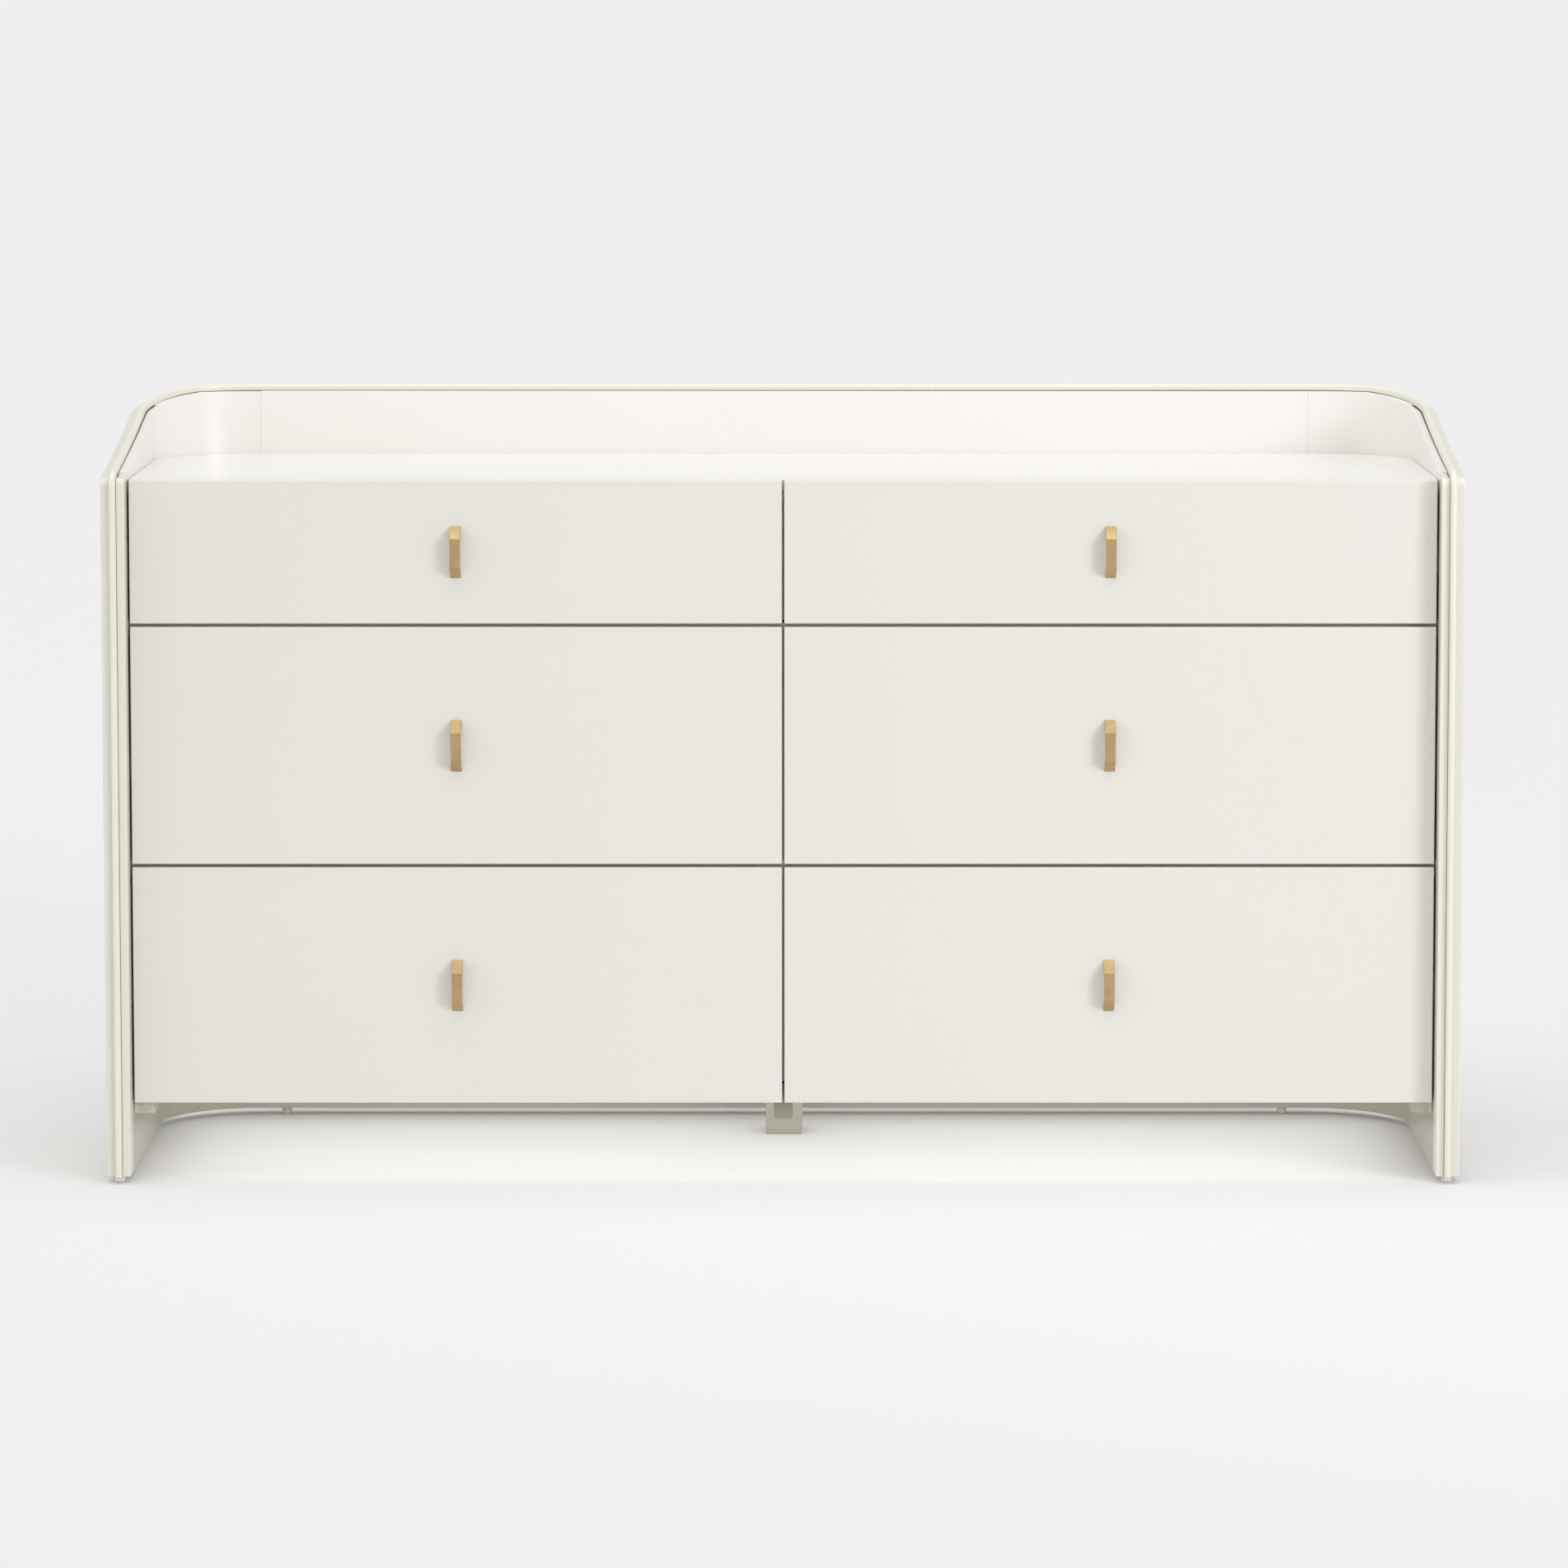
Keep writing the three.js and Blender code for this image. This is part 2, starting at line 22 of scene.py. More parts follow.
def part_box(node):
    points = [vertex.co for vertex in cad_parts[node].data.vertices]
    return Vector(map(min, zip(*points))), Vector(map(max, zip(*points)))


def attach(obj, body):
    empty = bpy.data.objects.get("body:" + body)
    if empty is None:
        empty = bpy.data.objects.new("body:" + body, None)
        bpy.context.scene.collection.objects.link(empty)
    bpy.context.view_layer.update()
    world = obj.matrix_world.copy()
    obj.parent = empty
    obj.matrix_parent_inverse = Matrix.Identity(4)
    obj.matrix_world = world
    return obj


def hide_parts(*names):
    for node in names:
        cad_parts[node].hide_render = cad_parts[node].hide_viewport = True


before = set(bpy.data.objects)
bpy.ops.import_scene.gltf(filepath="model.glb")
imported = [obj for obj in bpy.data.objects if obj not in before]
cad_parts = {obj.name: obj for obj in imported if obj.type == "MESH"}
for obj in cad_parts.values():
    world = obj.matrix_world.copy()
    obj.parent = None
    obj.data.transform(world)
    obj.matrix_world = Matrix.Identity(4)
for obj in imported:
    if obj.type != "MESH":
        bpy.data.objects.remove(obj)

MM = 0.001
TINY = 1e-6
QUARTER = math.pi / 2
SHARP = math.radians(32)
CORNER_STEPS = 40
CASE = "case"
ROWS = ("top", "middle", "bottom")
LOG = logging.getLogger("dresser")
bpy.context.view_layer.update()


class Slot(Enum):
    """The record's material slots."""

    LACQUER = "ivory_lacquer"
    BRASS = "brushed_brass"
    DRAWER = "drawer_wood"
    PLY = "plywood"
    STEEL = "zinc_steel"
    RAW = "raw_wood"
    NYLON = "glide_nylon"


class Tone(Enum):
    """The lacquer, and lighter and darker copies of it that paint light and shade under this studio's light:
    name, colour, and colour in the gun's passes.
    """

    FRONT = ("ivory_lacquer", (0.703, 0.690, 0.628), (0.711, 0.698, 0.642))
    # Lighter copy of the lacquer, for the lining and top board: painted light from above.
    LINING = ("ivory_lacquer_lining", (0.808, 0.795, 0.750), (0.820, 0.808, 0.770))
    # Lighter, yellower copy, for the front lippings and bead: painted light against the bead's shadow, with a
    # yellow tint of painted shade.
    EDGE = ("ivory_lacquer_edge", (0.735, 0.722, 0.615), (0.750, 0.737, 0.640))
    # Darker, yellower copy, for the shell: painted shade along the front strips.
    WING = ("ivory_lacquer_wing", (0.693, 0.676, 0.592), (0.705, 0.690, 0.612))
    # Near-black copy, for the batten: painted shade under the case.
    BATTEN = ("ivory_lacquer_batten", (0.27, 0.25, 0.20), (0.29, 0.27, 0.22))
    # Lighter, warmer copy, for the rails and divider: painted light in the gaps between the drawers.
    INSIDE = ("ivory_lacquer_inside", (0.90, 0.84, 0.70), (0.92, 0.86, 0.73))
    # Darker copy, for the lining's foot, the bottom board and the leg: painted shade under the case.
    UNDERSIDE = ("ivory_lacquer_underside", (0.43, 0.405, 0.33), (0.46, 0.43, 0.355))


class Grain(Enum):
    """The way that a board's grain runs, as the turn that brings it onto X."""

    ACROSS = (0.0, 0.0, 0.0)
    DEEP = (0.0, 0.0, 90.0)


class Side(Enum):
    """The two halves of the dresser, which mirror each other."""

    LEFT = -1
    RIGHT = 1

    @property
    def word(self) -> str:
        """The side's name in the names of pieces."""
        return self.name.lower()


# Shader graphs.


class Value:
    """A node's output that takes part in Python arithmetic."""

    def __init__(self, graph: "Graph", socket: NodeSocket) -> None:
        """Wraps an output socket of a graph."""
        self.graph = graph
        self.socket = socket

    def _math(self, operation: str, *terms: "Value | float") -> "Value":
        """The result of a Math node's operation on some terms."""
        return self.graph.value("Math", {"operation": operation}, dict(enumerate(terms)))

    def __add__(self, other: "Value | float") -> "Value":
        """This plus other."""
        return self._math("ADD", self, other)

    def __radd__(self, other: float) -> "Value":
        """Other plus this."""
        return self._math("ADD", other, self)

    def __sub__(self, other: "Value | float") -> "Value":
        """This minus other."""
        return self._math("SUBTRACT", self, other)

    def __rsub__(self, other: float) -> "Value":
        """Other minus this."""
        return self._math("SUBTRACT", other, self)

    def __mul__(self, other: "Value | float") -> "Value":
        """This times other."""
        return self._math("MULTIPLY", self, other)

    def between(self, low: float, high: float) -> "Value":
        """The range from low to high, stretched smoothly onto 0 to 1."""
        inputs = {"Value": self, "From Min": low, "From Max": high}
        return self.graph.value("MapRange", {"interpolation_type": "SMOOTHSTEP"}, inputs)


class Graph:
    """A material's node graph, with one Principled shader."""

    def __init__(self, name: str) -> None:
        """Starts a material with its shader.

        Args:
            name: The material's name.
        """
        self.material = bpy.data.materials.new(name)
        self.material.use_nodes = True
        self.nodes = self.material.node_tree.nodes
        self.links = self.material.node_tree.links
        self.nodes.clear()
        self.shader = self.node("BsdfPrincipled")
        self.node("OutputMaterial", {}, {"Surface": Value(self, self.shader.outputs[0])})

    def node(self, kind: str, settings: dict | None = None, inputs: dict | None = None) -> Node:
        """Adds any node.

        Args:
            kind: The node's type without its ShaderNode prefix.
            settings: Attributes to set first.
            inputs: Values or links by socket name, identifier or number.

        Returns:
            The node.
        """
        node = self.nodes.new("ShaderNode" + kind)
        for key, value in (settings or {}).items():
            setattr(node, key, value)
        for key, value in (inputs or {}).items():
            self.feed(self._socket(node.inputs, key), value)
        return node

    def value(self, kind: str, settings: dict, inputs: dict, output: int | str = 0) -> Value:
        """Adds a node and gives one of its outputs."""
        return Value(self, self._socket(self.node(kind, settings, inputs).outputs, output))

    @staticmethod
    def _socket(sockets: Sequence[NodeSocket], key: int | str) -> NodeSocket:
        """Finds a socket by its name, its identifier or its number."""
        named = [s for s in sockets if key in (s.identifier, s.name)]
        return named[0] if named else sockets[key]

    def feed(self, socket: NodeSocket, value: "Value | float | tuple") -> None:
        """Gives an input what it reads.

        Args:
            socket: The input.
            value: What to link to it, or its own number or colour.
        """
        if isinstance(value, Value):
            self.links.new(value.socket, socket)
        elif socket.type == "RGBA" and len(value) == 3:
            socket.default_value = (*value, 1.0)
        else:
            socket.default_value = value

    def coords(self, scale: tuple = (1, 1, 1), turn: tuple = (0, 0, 0)) -> Value:
        """Object coordinates, turned and then scaled.

        Args:
            scale: The factor along each axis.
            turn: Degrees about each axis.

        Returns:
            The coordinates.
        """
        angles = tuple(math.radians(a) for a in turn)
        source = self.value("TexCoord", {}, {}, "Object")
        turned = self.value("Mapping", {}, {"Vector": source, "Rotation": angles})
        return self.value("VectorMath", {"operation": "MULTIPLY"}, {0: turned, 1: scale})

    def noise(
        self, scale: float, detail: float = 2.0, where: Value | None = None, rough: float = 0.5
    ) -> Value:
        """Fractal noise from 0 to 1, with some features per metre and octaves of detail."""
        inputs = {"Vector": where or self.coords(), "Scale": scale, "Detail": detail, "Roughness": rough}
        return self.value("TexNoise", {}, inputs)

    def spots(self, scale: float, where: Value | None = None) -> Value:
        """The distance to the nearest of scattered points, in their spacing."""
        return self.value("TexVoronoi", {}, {"Vector": where or self.coords(), "Scale": scale}, "Distance")

    def mix(self, share: "Value | float", first: "Value | tuple", second: "Value | tuple") -> Value:
        """Two colours mixed, with a share of the second."""
        inputs = {"Factor_Float": share, "A_Color": first, "B_Color": second}
        return self.value("Mix", {"data_type": "RGBA"}, inputs, "Result_Color")

    def bump(self, height: Value, depth: float, strength: float) -> Value:
        """The normal of a height map, where a height of 1 is so many metres deep."""
        return self.value("Bump", {}, {"Height": height, "Distance": depth, "Strength": strength})

    def finish(self, **sockets: "Value | float | tuple") -> Material:
        """Sets the shader's sockets.

        Args:
            sockets: Their values by name, with underscores for spaces.

        Returns:
            The material.
        """
        for key, value in sockets.items():
            self.feed(self.shader.inputs[key.replace("_", " ")], value)
        return self.material


# Finishes.


@dataclass(frozen=True)
class Lacquer:
    """Sprayed semi-gloss lacquer: faint clouds from the gun's passes, and orange peel."""

    name: str
    tone: tuple
    cloud: tuple
    gloss: float = 0.30
    peel: float = 0.00004

    def material(self) -> Material:
        """Builds the lacquer.

        Returns:
            Its material.
        """
        g = Graph(self.name)
        clouds = g.noise(2.2, 3.0).between(0.30, 0.70)
        passes = g.noise(9.0, 2.0, g.coords((1.0, 1.0, 0.25))).between(0.25, 0.75)
        return g.finish(
            Base_Color=g.mix(clouds * 0.7 + passes * 0.3, self.tone, self.cloud),
            Roughness=self.gloss + (clouds - 0.5) * 0.05 + (passes - 0.5) * 0.04,
            Normal=g.bump(g.noise(60.0, 1.0), self.peel, 0.22),
            Coat_Weight=0.30,
            Coat_Roughness=0.16,
            IOR=1.5,
        )


@dataclass(frozen=True)
class Brass:
    """Satin brass, brushed lengthways, a little darker where hands have dulled it."""

    name: str = "brushed_brass"
    bright: tuple = (0.55, 0.395, 0.19)
    dull: tuple = (0.44, 0.31, 0.145)
    satin: float = 0.34

    def material(self) -> Material:
        """Builds the brass.

        Returns:
            Its material.
        """
        g = Graph(self.name)
        strokes = g.noise(1.0, 3.0, g.coords((3200.0, 3200.0, 90.0)), 0.6)
        handled = g.noise(55.0, 2.5).between(0.35, 0.70)
        colour = g.mix(handled * 0.55 + (strokes - 0.5) * 0.5, self.bright, self.dull)
        roughness = self.satin + (strokes - 0.5) * 0.16 + handled * 0.06
        normal = g.bump(strokes, 0.00005, 0.5)
        return g.finish(Base_Color=colour, Roughness=roughness, Metallic=1.0, Normal=normal)


@dataclass(frozen=True)
class Timber:
    """Pale close-grained timber, or thin plywood, under a matt finish."""

    name: str
    grain: Grain
    early: tuple = (0.70, 0.56, 0.385)
    late: tuple = (0.56, 0.41, 0.25)
    fleck: tuple = (0.40, 0.27, 0.15)
    rings: float = 34.0

    def material(self) -> Material:
        """Builds the timber, with its grain along the board.

        Returns:
            Its material.
        """
        g = Graph(self.name)
        turn = self.grain.value
        drift = g.noise(3.0, 2.0, g.coords((0.5, 1.0, 1.0), turn))
        figure = g.noise(self.rings, 4.0, g.coords((0.045, 1.0, 1.0), turn), 0.62)
        bands = (figure + drift * 0.35).between(0.45, 0.92)
        pores = 1.0 - g.noise(520.0, 1.0, g.coords((0.03, 1.0, 1.0), turn)).between(0.22, 0.36)
        colour = g.mix(bands, self.early, self.late)
        colour = g.mix(pores * 0.55, colour, self.fleck)
        fibres = g.noise(900.0, 2.0, g.coords((0.02, 1.0, 1.0), turn))
        roughness = 0.52 + bands * 0.10 + pores * 0.10
        normal = g.bump(fibres - pores * 0.8, 0.00008, 0.5)
        return g.finish(Base_Color=colour, Roughness=roughness, Normal=normal)


@dataclass(frozen=True)
class RawBoard:
    """Sawn, unfinished board with torn fibres and dark flecks."""

    name: str = "raw_wood"
    pale: tuple = (0.68, 0.65, 0.56)
    dusty: tuple = (0.54, 0.50, 0.41)
    fleck: tuple = (0.16, 0.13, 0.09)

    def material(self) -> Material:
        """Builds the raw board.

        Returns:
            Its material.
        """
        g = Graph(self.name)
        chips = g.spots(330.0, g.coords((1.0, 0.35, 1.0)))
        mottle = g.noise(210.0, 4.0, rough=0.65)
        flecks = 1.0 - g.noise(480.0, 2.0).between(0.26, 0.37)
        colour = g.mix(mottle.between(0.35, 0.70), self.pale, self.dusty)
        colour = g.mix(flecks * 0.8, colour, self.fleck)
        normal = g.bump(chips + mottle - flecks, 0.0004, 0.7)
        return g.finish(Base_Color=colour, Roughness=0.78 + mottle * 0.12, Normal=normal)


@dataclass(frozen=True)
class PressedSteel:
    """Zinc-plated pressed steel, faintly spangled and drawn along its length."""

    name: str = "zinc_steel"
    bright: tuple = (0.62, 0.63, 0.645)
    grey: tuple = (0.47, 0.48, 0.50)
    sheen: float = 0.30

    def material(self) -> Material:
        """Builds the steel.

        Returns:
            Its material.
        """
        g = Graph(self.name)
        spangle = g.spots(160.0).between(0.10, 0.75)
        drawn = g.noise(1.0, 3.0, g.coords((900.0, 14.0, 900.0)), 0.6)
        colour = g.mix(spangle * 0.6 + drawn * 0.3, self.bright, self.grey)
        roughness = self.sheen + spangle * 0.10 + (drawn - 0.5) * 0.14
        normal = g.bump(drawn, 0.00004, 0.5)
        return g.finish(Base_Color=colour, Roughness=roughness, Metallic=1.0, Normal=normal)


@dataclass(frozen=True)
class Moulded:
    """Moulded nylon or soft rubber with a fine eroded texture."""

    name: str
    tone: tuple
    roughness: float = 0.45

    def material(self) -> Material:
        """Builds the moulding.

        Returns:
            Its material.
        """
        g = Graph(self.name)
        flow = g.noise(70.0, 2.0)
        grit = g.noise(1600.0, 2.0)
        shade = tuple(0.86 * c for c in self.tone)
        colour = g.mix(flow.between(0.3, 0.7) * 0.5, self.tone, shade)
        roughness = self.roughness + (grit - 0.5) * 0.15
        return g.finish(Base_Color=colour, Roughness=roughness, Normal=g.bump(grit, 0.00005, 0.6))


@dataclass(frozen=True)
class StudioFloor:
    """A matt painted floor, pale and even."""

    name: str = "studio_floor"
    tone: tuple = (0.764, 0.764, 0.764)

    def material(self) -> Material:
        """Builds the floor's paint."""
        return Graph(self.name).finish(Base_Color=self.tone, Roughness=0.9, Specular_IOR_Level=0.1)


@dataclass(frozen=True)
class Finish:
    """A material with the record's slot that it comes from."""

    material: Material
    slot: Slot


class Palette:
    """Every finish of the dresser, made once."""

    def __init__(self) -> None:
        """Makes the finishes."""
        self.lacquer = {t: Finish(Lacquer(*t.value).material(), Slot.LACQUER) for t in Tone}
        self.brass = Finish(Brass().material(), Slot.BRASS)
        self.raw = Finish(RawBoard().material(), Slot.RAW)
        self.steel = Finish(PressedSteel().material(), Slot.STEEL)
        self.nylon = Finish(Moulded("glide_nylon", (0.80, 0.78, 0.70)).material(), Slot.NYLON)
        self.rubber = Finish(Moulded("bumper_rubber", (0.66, 0.66, 0.63), 0.55).material(), Slot.NYLON)
        black = Moulded("blackened_screw", (0.055, 0.045, 0.035), 0.5).material()
        self.black_screw = Finish(black, Slot.STEEL)
        # The same black again, as a strip along the rim: painted shadow between bead and lining.
        self.dark_joint = Finish(black, Slot.LACQUER)
        timber = {g: Timber(f"drawer_timber_{g.name.lower()}", g).material() for g in Grain}
        self.timber = {g: Finish(material, Slot.DRAWER) for g, material in timber.items()}
        colours = ((0.68, 0.53, 0.34), (0.58, 0.42, 0.24), (0.45, 0.30, 0.16))
        sheet = Timber("plywood", Grain.ACROSS, *colours, rings=11.0)
        self.ply = Finish(sheet.material(), Slot.PLY)


# Bench work.


class Bench:
    """Saws, rounds over, drills and sets pieces in their place."""

    @staticmethod
    def block(low: Sequence[float], high: Sequence[float]) -> BMesh:
        """A block with square edges.

        Args:
            low: Its lowest corner.
            high: Its highest corner.

        Returns:
            The block.
        """
        low, high = Vector(low), Vector(high)
        bm = bmesh.new()
        bmesh.ops.create_cube(bm, size=1.0)
        bmesh.ops.scale(bm, vec=high - low, verts=bm.verts)
        bmesh.ops.translate(bm, vec=(low + high) / 2, verts=bm.verts)
        return bm

    @staticmethod
    def at(edge: BMEdge, axis: int, place: float) -> bool:
        """Whether an edge lies at one place on an axis."""
        return all(abs(v.co[axis] - place) < TINY for v in edge.verts)

    @staticmethod
    def span(edge: BMEdge, axis: int) -> float:
        """How far an edge reaches along an axis."""
        return abs(edge.verts[0].co[axis] - edge.verts[1].co[axis])

    @staticmethod
    def round_edges(
        bm: BMesh,
        radius: float,
        segments: int = 2,
        which: Callable[[BMEdge], bool] | None = None,
        sharper_than: float = 50.0,
    ) -> BMesh:
        """Rounds over a body's sharp edges.

        Args:
            bm: The body.
            radius: How far each edge is taken back.
            segments: Steps in the rounding.
            which: Picks the edges; every sharp one if left out.
            sharper_than: The least turn between faces that counts, in degrees.

        Returns:
            The same body.
        """
        limit = math.radians(sharper_than)
        sharp = [e for e in bm.edges if e.is_manifold and e.calc_face_angle(0.0) > limit]
        bmesh.ops.bevel(
            bm,
            geom=[e for e in sharp if which is None or which(e)],
            offset=radius,
            offset_type="OFFSET",
            segments=segments,
            profile=0.5,
            affect="EDGES",
            material=-1,
            clamp_overlap=True,
        )
        return bm

    @classmethod
    def board(cls, low: Sequence[float], high: Sequence[float], arris: float = 0.8 * MM) -> BMesh:
        """A sawn board with its arrises taken off."""
        return cls.round_edges(cls.block(low, high), arris)

    @staticmethod
    def cut(bm: BMesh, axis: int, places: Iterable[float]) -> BMesh:
        """Scores a body across an axis, so that it can be bent there.

        Args:
            bm: The body.
            axis: 0, 1 or 2 for X, Y or Z.
            places: Where to score it.

        Returns:
            The same body.
        """
        normal = Vector((0.0, 0.0, 0.0))
        normal[axis] = 1.0
        for place in places:
            everything = [*bm.verts, *bm.edges, *bm.faces]
            bmesh.ops.bisect_plane(
                bm, geom=everything, dist=TINY / 10, plane_co=normal * place, plane_no=normal
            )
        return bm

    @staticmethod
    def push(bm: BMesh, faces: Sequence[BMFace], by: Sequence[float], keep: bool = False) -> BMesh:
        """Extrudes faces and moves them.

        Args:
            bm: The body.
            faces: The faces.
            by: How far and which way they move.
            keep: Whether they also stay where they were.

        Returns:
            The same body.
        """
        made = bmesh.ops.extrude_face_region(bm, geom=faces, use_keep_orig=keep)
        moved = [v for v in made["geom"] if isinstance(v, BMVert)]
        bmesh.ops.translate(bm, vec=by, verts=moved)
        if not keep:
            left = [f for f in faces if f.is_valid]
            bmesh.ops.delete(bm, geom=left, context="FACES_ONLY")
        bmesh.ops.recalc_face_normals(bm, faces=bm.faces)
        return bm

    @classmethod
    def bar(cls, outline: Sequence[Vector], along: Sequence[float]) -> BMesh:
        """A flat outline drawn out into a bar.

        Args:
            outline: The corners, in order.
            along: The bar's length and direction.

        Returns:
            The bar, closed and facing outwards.
        """
        bm = bmesh.new()
        face = bm.faces.new([bm.verts.new(p) for p in outline])
        return cls.push(bm, [face], along, keep=True)

    @staticmethod
    def mirrored(bm: BMesh) -> BMesh:
        """Turns a left-hand body into a right-hand one.

        Args:
            bm: The body.

        Returns:
            The same body.
        """
        bmesh.ops.scale(bm, vec=(-1.0, 1.0, 1.0), verts=bm.verts)
        bmesh.ops.recalc_face_normals(bm, faces=bm.faces)
        return bm

    @staticmethod
    def joined(bodies: Iterable[BMesh]) -> BMesh:
        """Puts several bodies into one mesh.

        Args:
            bodies: The bodies, which are used up.

        Returns:
            The mesh.
        """
        whole = bmesh.new()
        for body in bodies:
            part = bpy.data.meshes.new("part")
            body.to_mesh(part)
            body.free()
            whole.from_mesh(part)
            bpy.data.meshes.remove(part)
        return whole

    @staticmethod
    def seated(bm: BMesh, at: Sequence[float], facing: Sequence[float], height: float) -> BMesh:
        """Seats a round body, made about the origin, on a surface.

        Args:
            bm: The body.
            at: The middle of its foot.
            facing: The way that its top faces.
            height: Its height.

        Returns:
            The same body.
        """
        bmesh.ops.translate(bm, vec=(0.0, 0.0, height / 2), verts=bm.verts)
        turn = Vector((0.0, 0.0, 1.0)).rotation_difference(Vector(facing)).to_matrix()
        bmesh.ops.rotate(bm, cent=(0.0, 0.0, 0.0), matrix=turn, verts=bm.verts)
        bmesh.ops.translate(bm, vec=Vector(at), verts=bm.verts)
        return bm

    @classmethod
    def disc(
        cls,
        at: Sequence[float],
        facing: Sequence[float],
        radius: float,
        height: float,
        sides: int = 24,
        edge: float = 0.5 * MM,
    ) -> BMesh:
        """A short round body with a rounded rim.

        Args:
            at: The middle of its foot.
            facing: The way that its top faces.
            radius: Its radius.
            height: Its height.
            sides: Steps round it.
            edge: The rounding of its rim.

        Returns:
            The disc.
        """
        bm = bmesh.new()
        bmesh.ops.create_cone(
            bm, cap_ends=True, segments=sides, radius1=radius, radius2=radius, depth=height
        )
        cls.round_edges(bm, edge, 3, lambda e: cls.at(e, 2, height / 2))
        return cls.seated(bm, at, facing, height)

    @classmethod
    def screw(cls, at: Sequence[float], facing: Sequence[float], radius: float) -> BMesh:
        """A pan-head screw with a recess, seated on a surface.

        Args:
            at: The middle of its head's foot.
            facing: The way that its head faces.
            radius: The head's radius.

        Returns:
            The screw's head.
        """
        bm = bmesh.new()
        height = 0.55 * radius
        bmesh.ops.create_cone(
            bm, cap_ends=True, segments=18, radius1=radius, radius2=0.72 * radius, depth=height
        )
        top = max(bm.faces, key=lambda f: f.calc_center_median().z)
        bmesh.ops.inset_region(bm, faces=[top], thickness=0.30 * radius)
        cls.push(bm, [top], (0.0, 0.0, -0.35 * radius))
        return cls.seated(bm, at, facing, height)

    @classmethod
    def screws(
        cls, places: Iterable[Sequence[float]], facing: Sequence[float], radius: float = 3.4 * MM
    ) -> BMesh:
        """Several screws that face one way, in one mesh."""
        return cls.joined(cls.screw(place, facing, radius) for place in places)

    @staticmethod
    def place(
        name: str, bm: BMesh, finish: Finish, body: str = CASE, stands_for: Sequence[str] = ()
    ) -> None:
        """Turns a finished body into a piece that rides on the frame.

        Args:
            name: The piece's name.
            bm: Its body, which is used up.
            finish: Its finish.
            body: What it moves with.
            stands_for: The plain solids that it takes the place of.
        """
        mesh = bpy.data.meshes.new(name)
        bm.to_mesh(mesh)
        bm.free()
        mesh.shade_smooth()
        mesh.set_sharp_from_angle(angle=SHARP)
        mesh.materials.append(finish.material)
        piece = bpy.data.objects.new(name, mesh)
        bpy.context.scene.collection.objects.link(piece)
        soften = piece.modifiers.new("even_light", "WEIGHTED_NORMAL")
        soften.keep_sharp = True
        soften.weight = 80
        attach(piece, body)
        if stands_for:
            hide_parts(*stands_for)
        LOG.info("%s: %d faces, moves with %s", name, len(mesh.polygons), body)


# The wall.


@dataclass
class WallLine:
    """The wall's line in plan, and the height of its rim, on the left half.

    A run is measured from the front along the middle of the wall, and an offset
    inwards from its outer face.
    """

    corner: float = 145 * MM
    thickness: float = 28 * MM
    foot: float = 9 * MM
    rounding: float = 10 * MM
    rim_points: tuple = ((0, 838), (330, 880), (365, 900), (467, 910))
    rim_steps: int = 400
    climb_steps: int = 56
    end_clear: float = 2 * MM

    def __post_init__(self) -> None:
        """Reads the wall's extent from the frame and draws its rim."""
        low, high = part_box("shell_left")
        self.half, self.front, self.back = -low.x, low.y, high.y
        self.side_run = self.back - self.corner - self.front
        self.corner_run = (self.corner - self.thickness / 2) * QUARTER
        ends = [Vector((x * MM, z * MM)) for x, z in self.rim_points]
        self.climb_run, self.level = ends[-1]
        self.rim_line = interpolate_bezier(*ends, self.rim_steps)

    def rim(self, run: float) -> float:
        """The rim's height.

        Args:
            run: Where along the wall.

        Returns:
            The height there.
        """
        for before, after in zip(self.rim_line, self.rim_line[1:]):
            if after.x >= run:
                share = (run - before.x) / (after.x - before.x)
                return before.y + (after.y - before.y) * share
        return self.level

    def turned(self, run: float) -> float:
        """How much of the corner's turn is done at a run, from 0 to 1."""
        return min(1.0, max(0.0, (run - self.side_run) / self.corner_run))

    def place(self, run: float, offset: float) -> tuple[Vector, Vector]:
        """A place on the wall in plan.

        Args:
            run: Along the wall.
            offset: In from its outer face.

        Returns:
            The place at height 0, and the outward direction there.
        """
        centre = Vector((self.corner - self.half, self.back - self.corner, 0.0))
        angle = self.turned(run) * QUARTER
        out = Vector((-math.cos(angle), math.sin(angle), 0.0))
        before = min(0.0, run - self.side_run)
        after = max(0.0, run - self.side_run - self.corner_run)
        return centre + out * (self.corner - offset) + Vector((after, before, 0.0)), out

    def run_at(self, x: float) -> float:
        """The run of a place on the back, from its X."""
        return self.side_run + self.corner_run + self.half - self.corner + x

    def stations(self, start: float, end: float) -> list[float]:
        """Where a board is scored: over the climb and round the corner.

        Args:
            start: Its first run.
            end: Its last run.

        Returns:
            The runs, in order.
        """
        climb = [self.climb_run * i / self.climb_steps for i in range(1, self.climb_steps + 1)]
        corner = [self.side_run + self.corner_run * i / CORNER_STEPS for i in range(CORNER_STEPS + 1)]
        return sorted(r for r in climb + corner if start + self.end_clear < r < end - self.end_clear)

    def bend(self, bm: BMesh, top: float) -> BMesh:
        """Bends a flat board to the wall's line and lifts its top to the rim.

        Args:
            bm: The board: X along the run, Y the offset, Z the height.
            top: The height of its flat top.

        Returns:
            The same board, in its place.
        """
        for vert in bm.verts:
            run, offset, height = vert.co
            if height > top / 2:
                height += self.rim(max(0.0, run)) - top
            vert.co = self.place(run, offset)[0] + Vector((0.0, 0.0, height))
        bmesh.ops.recalc_face_normals(bm, faces=bm.faces)
        return bm


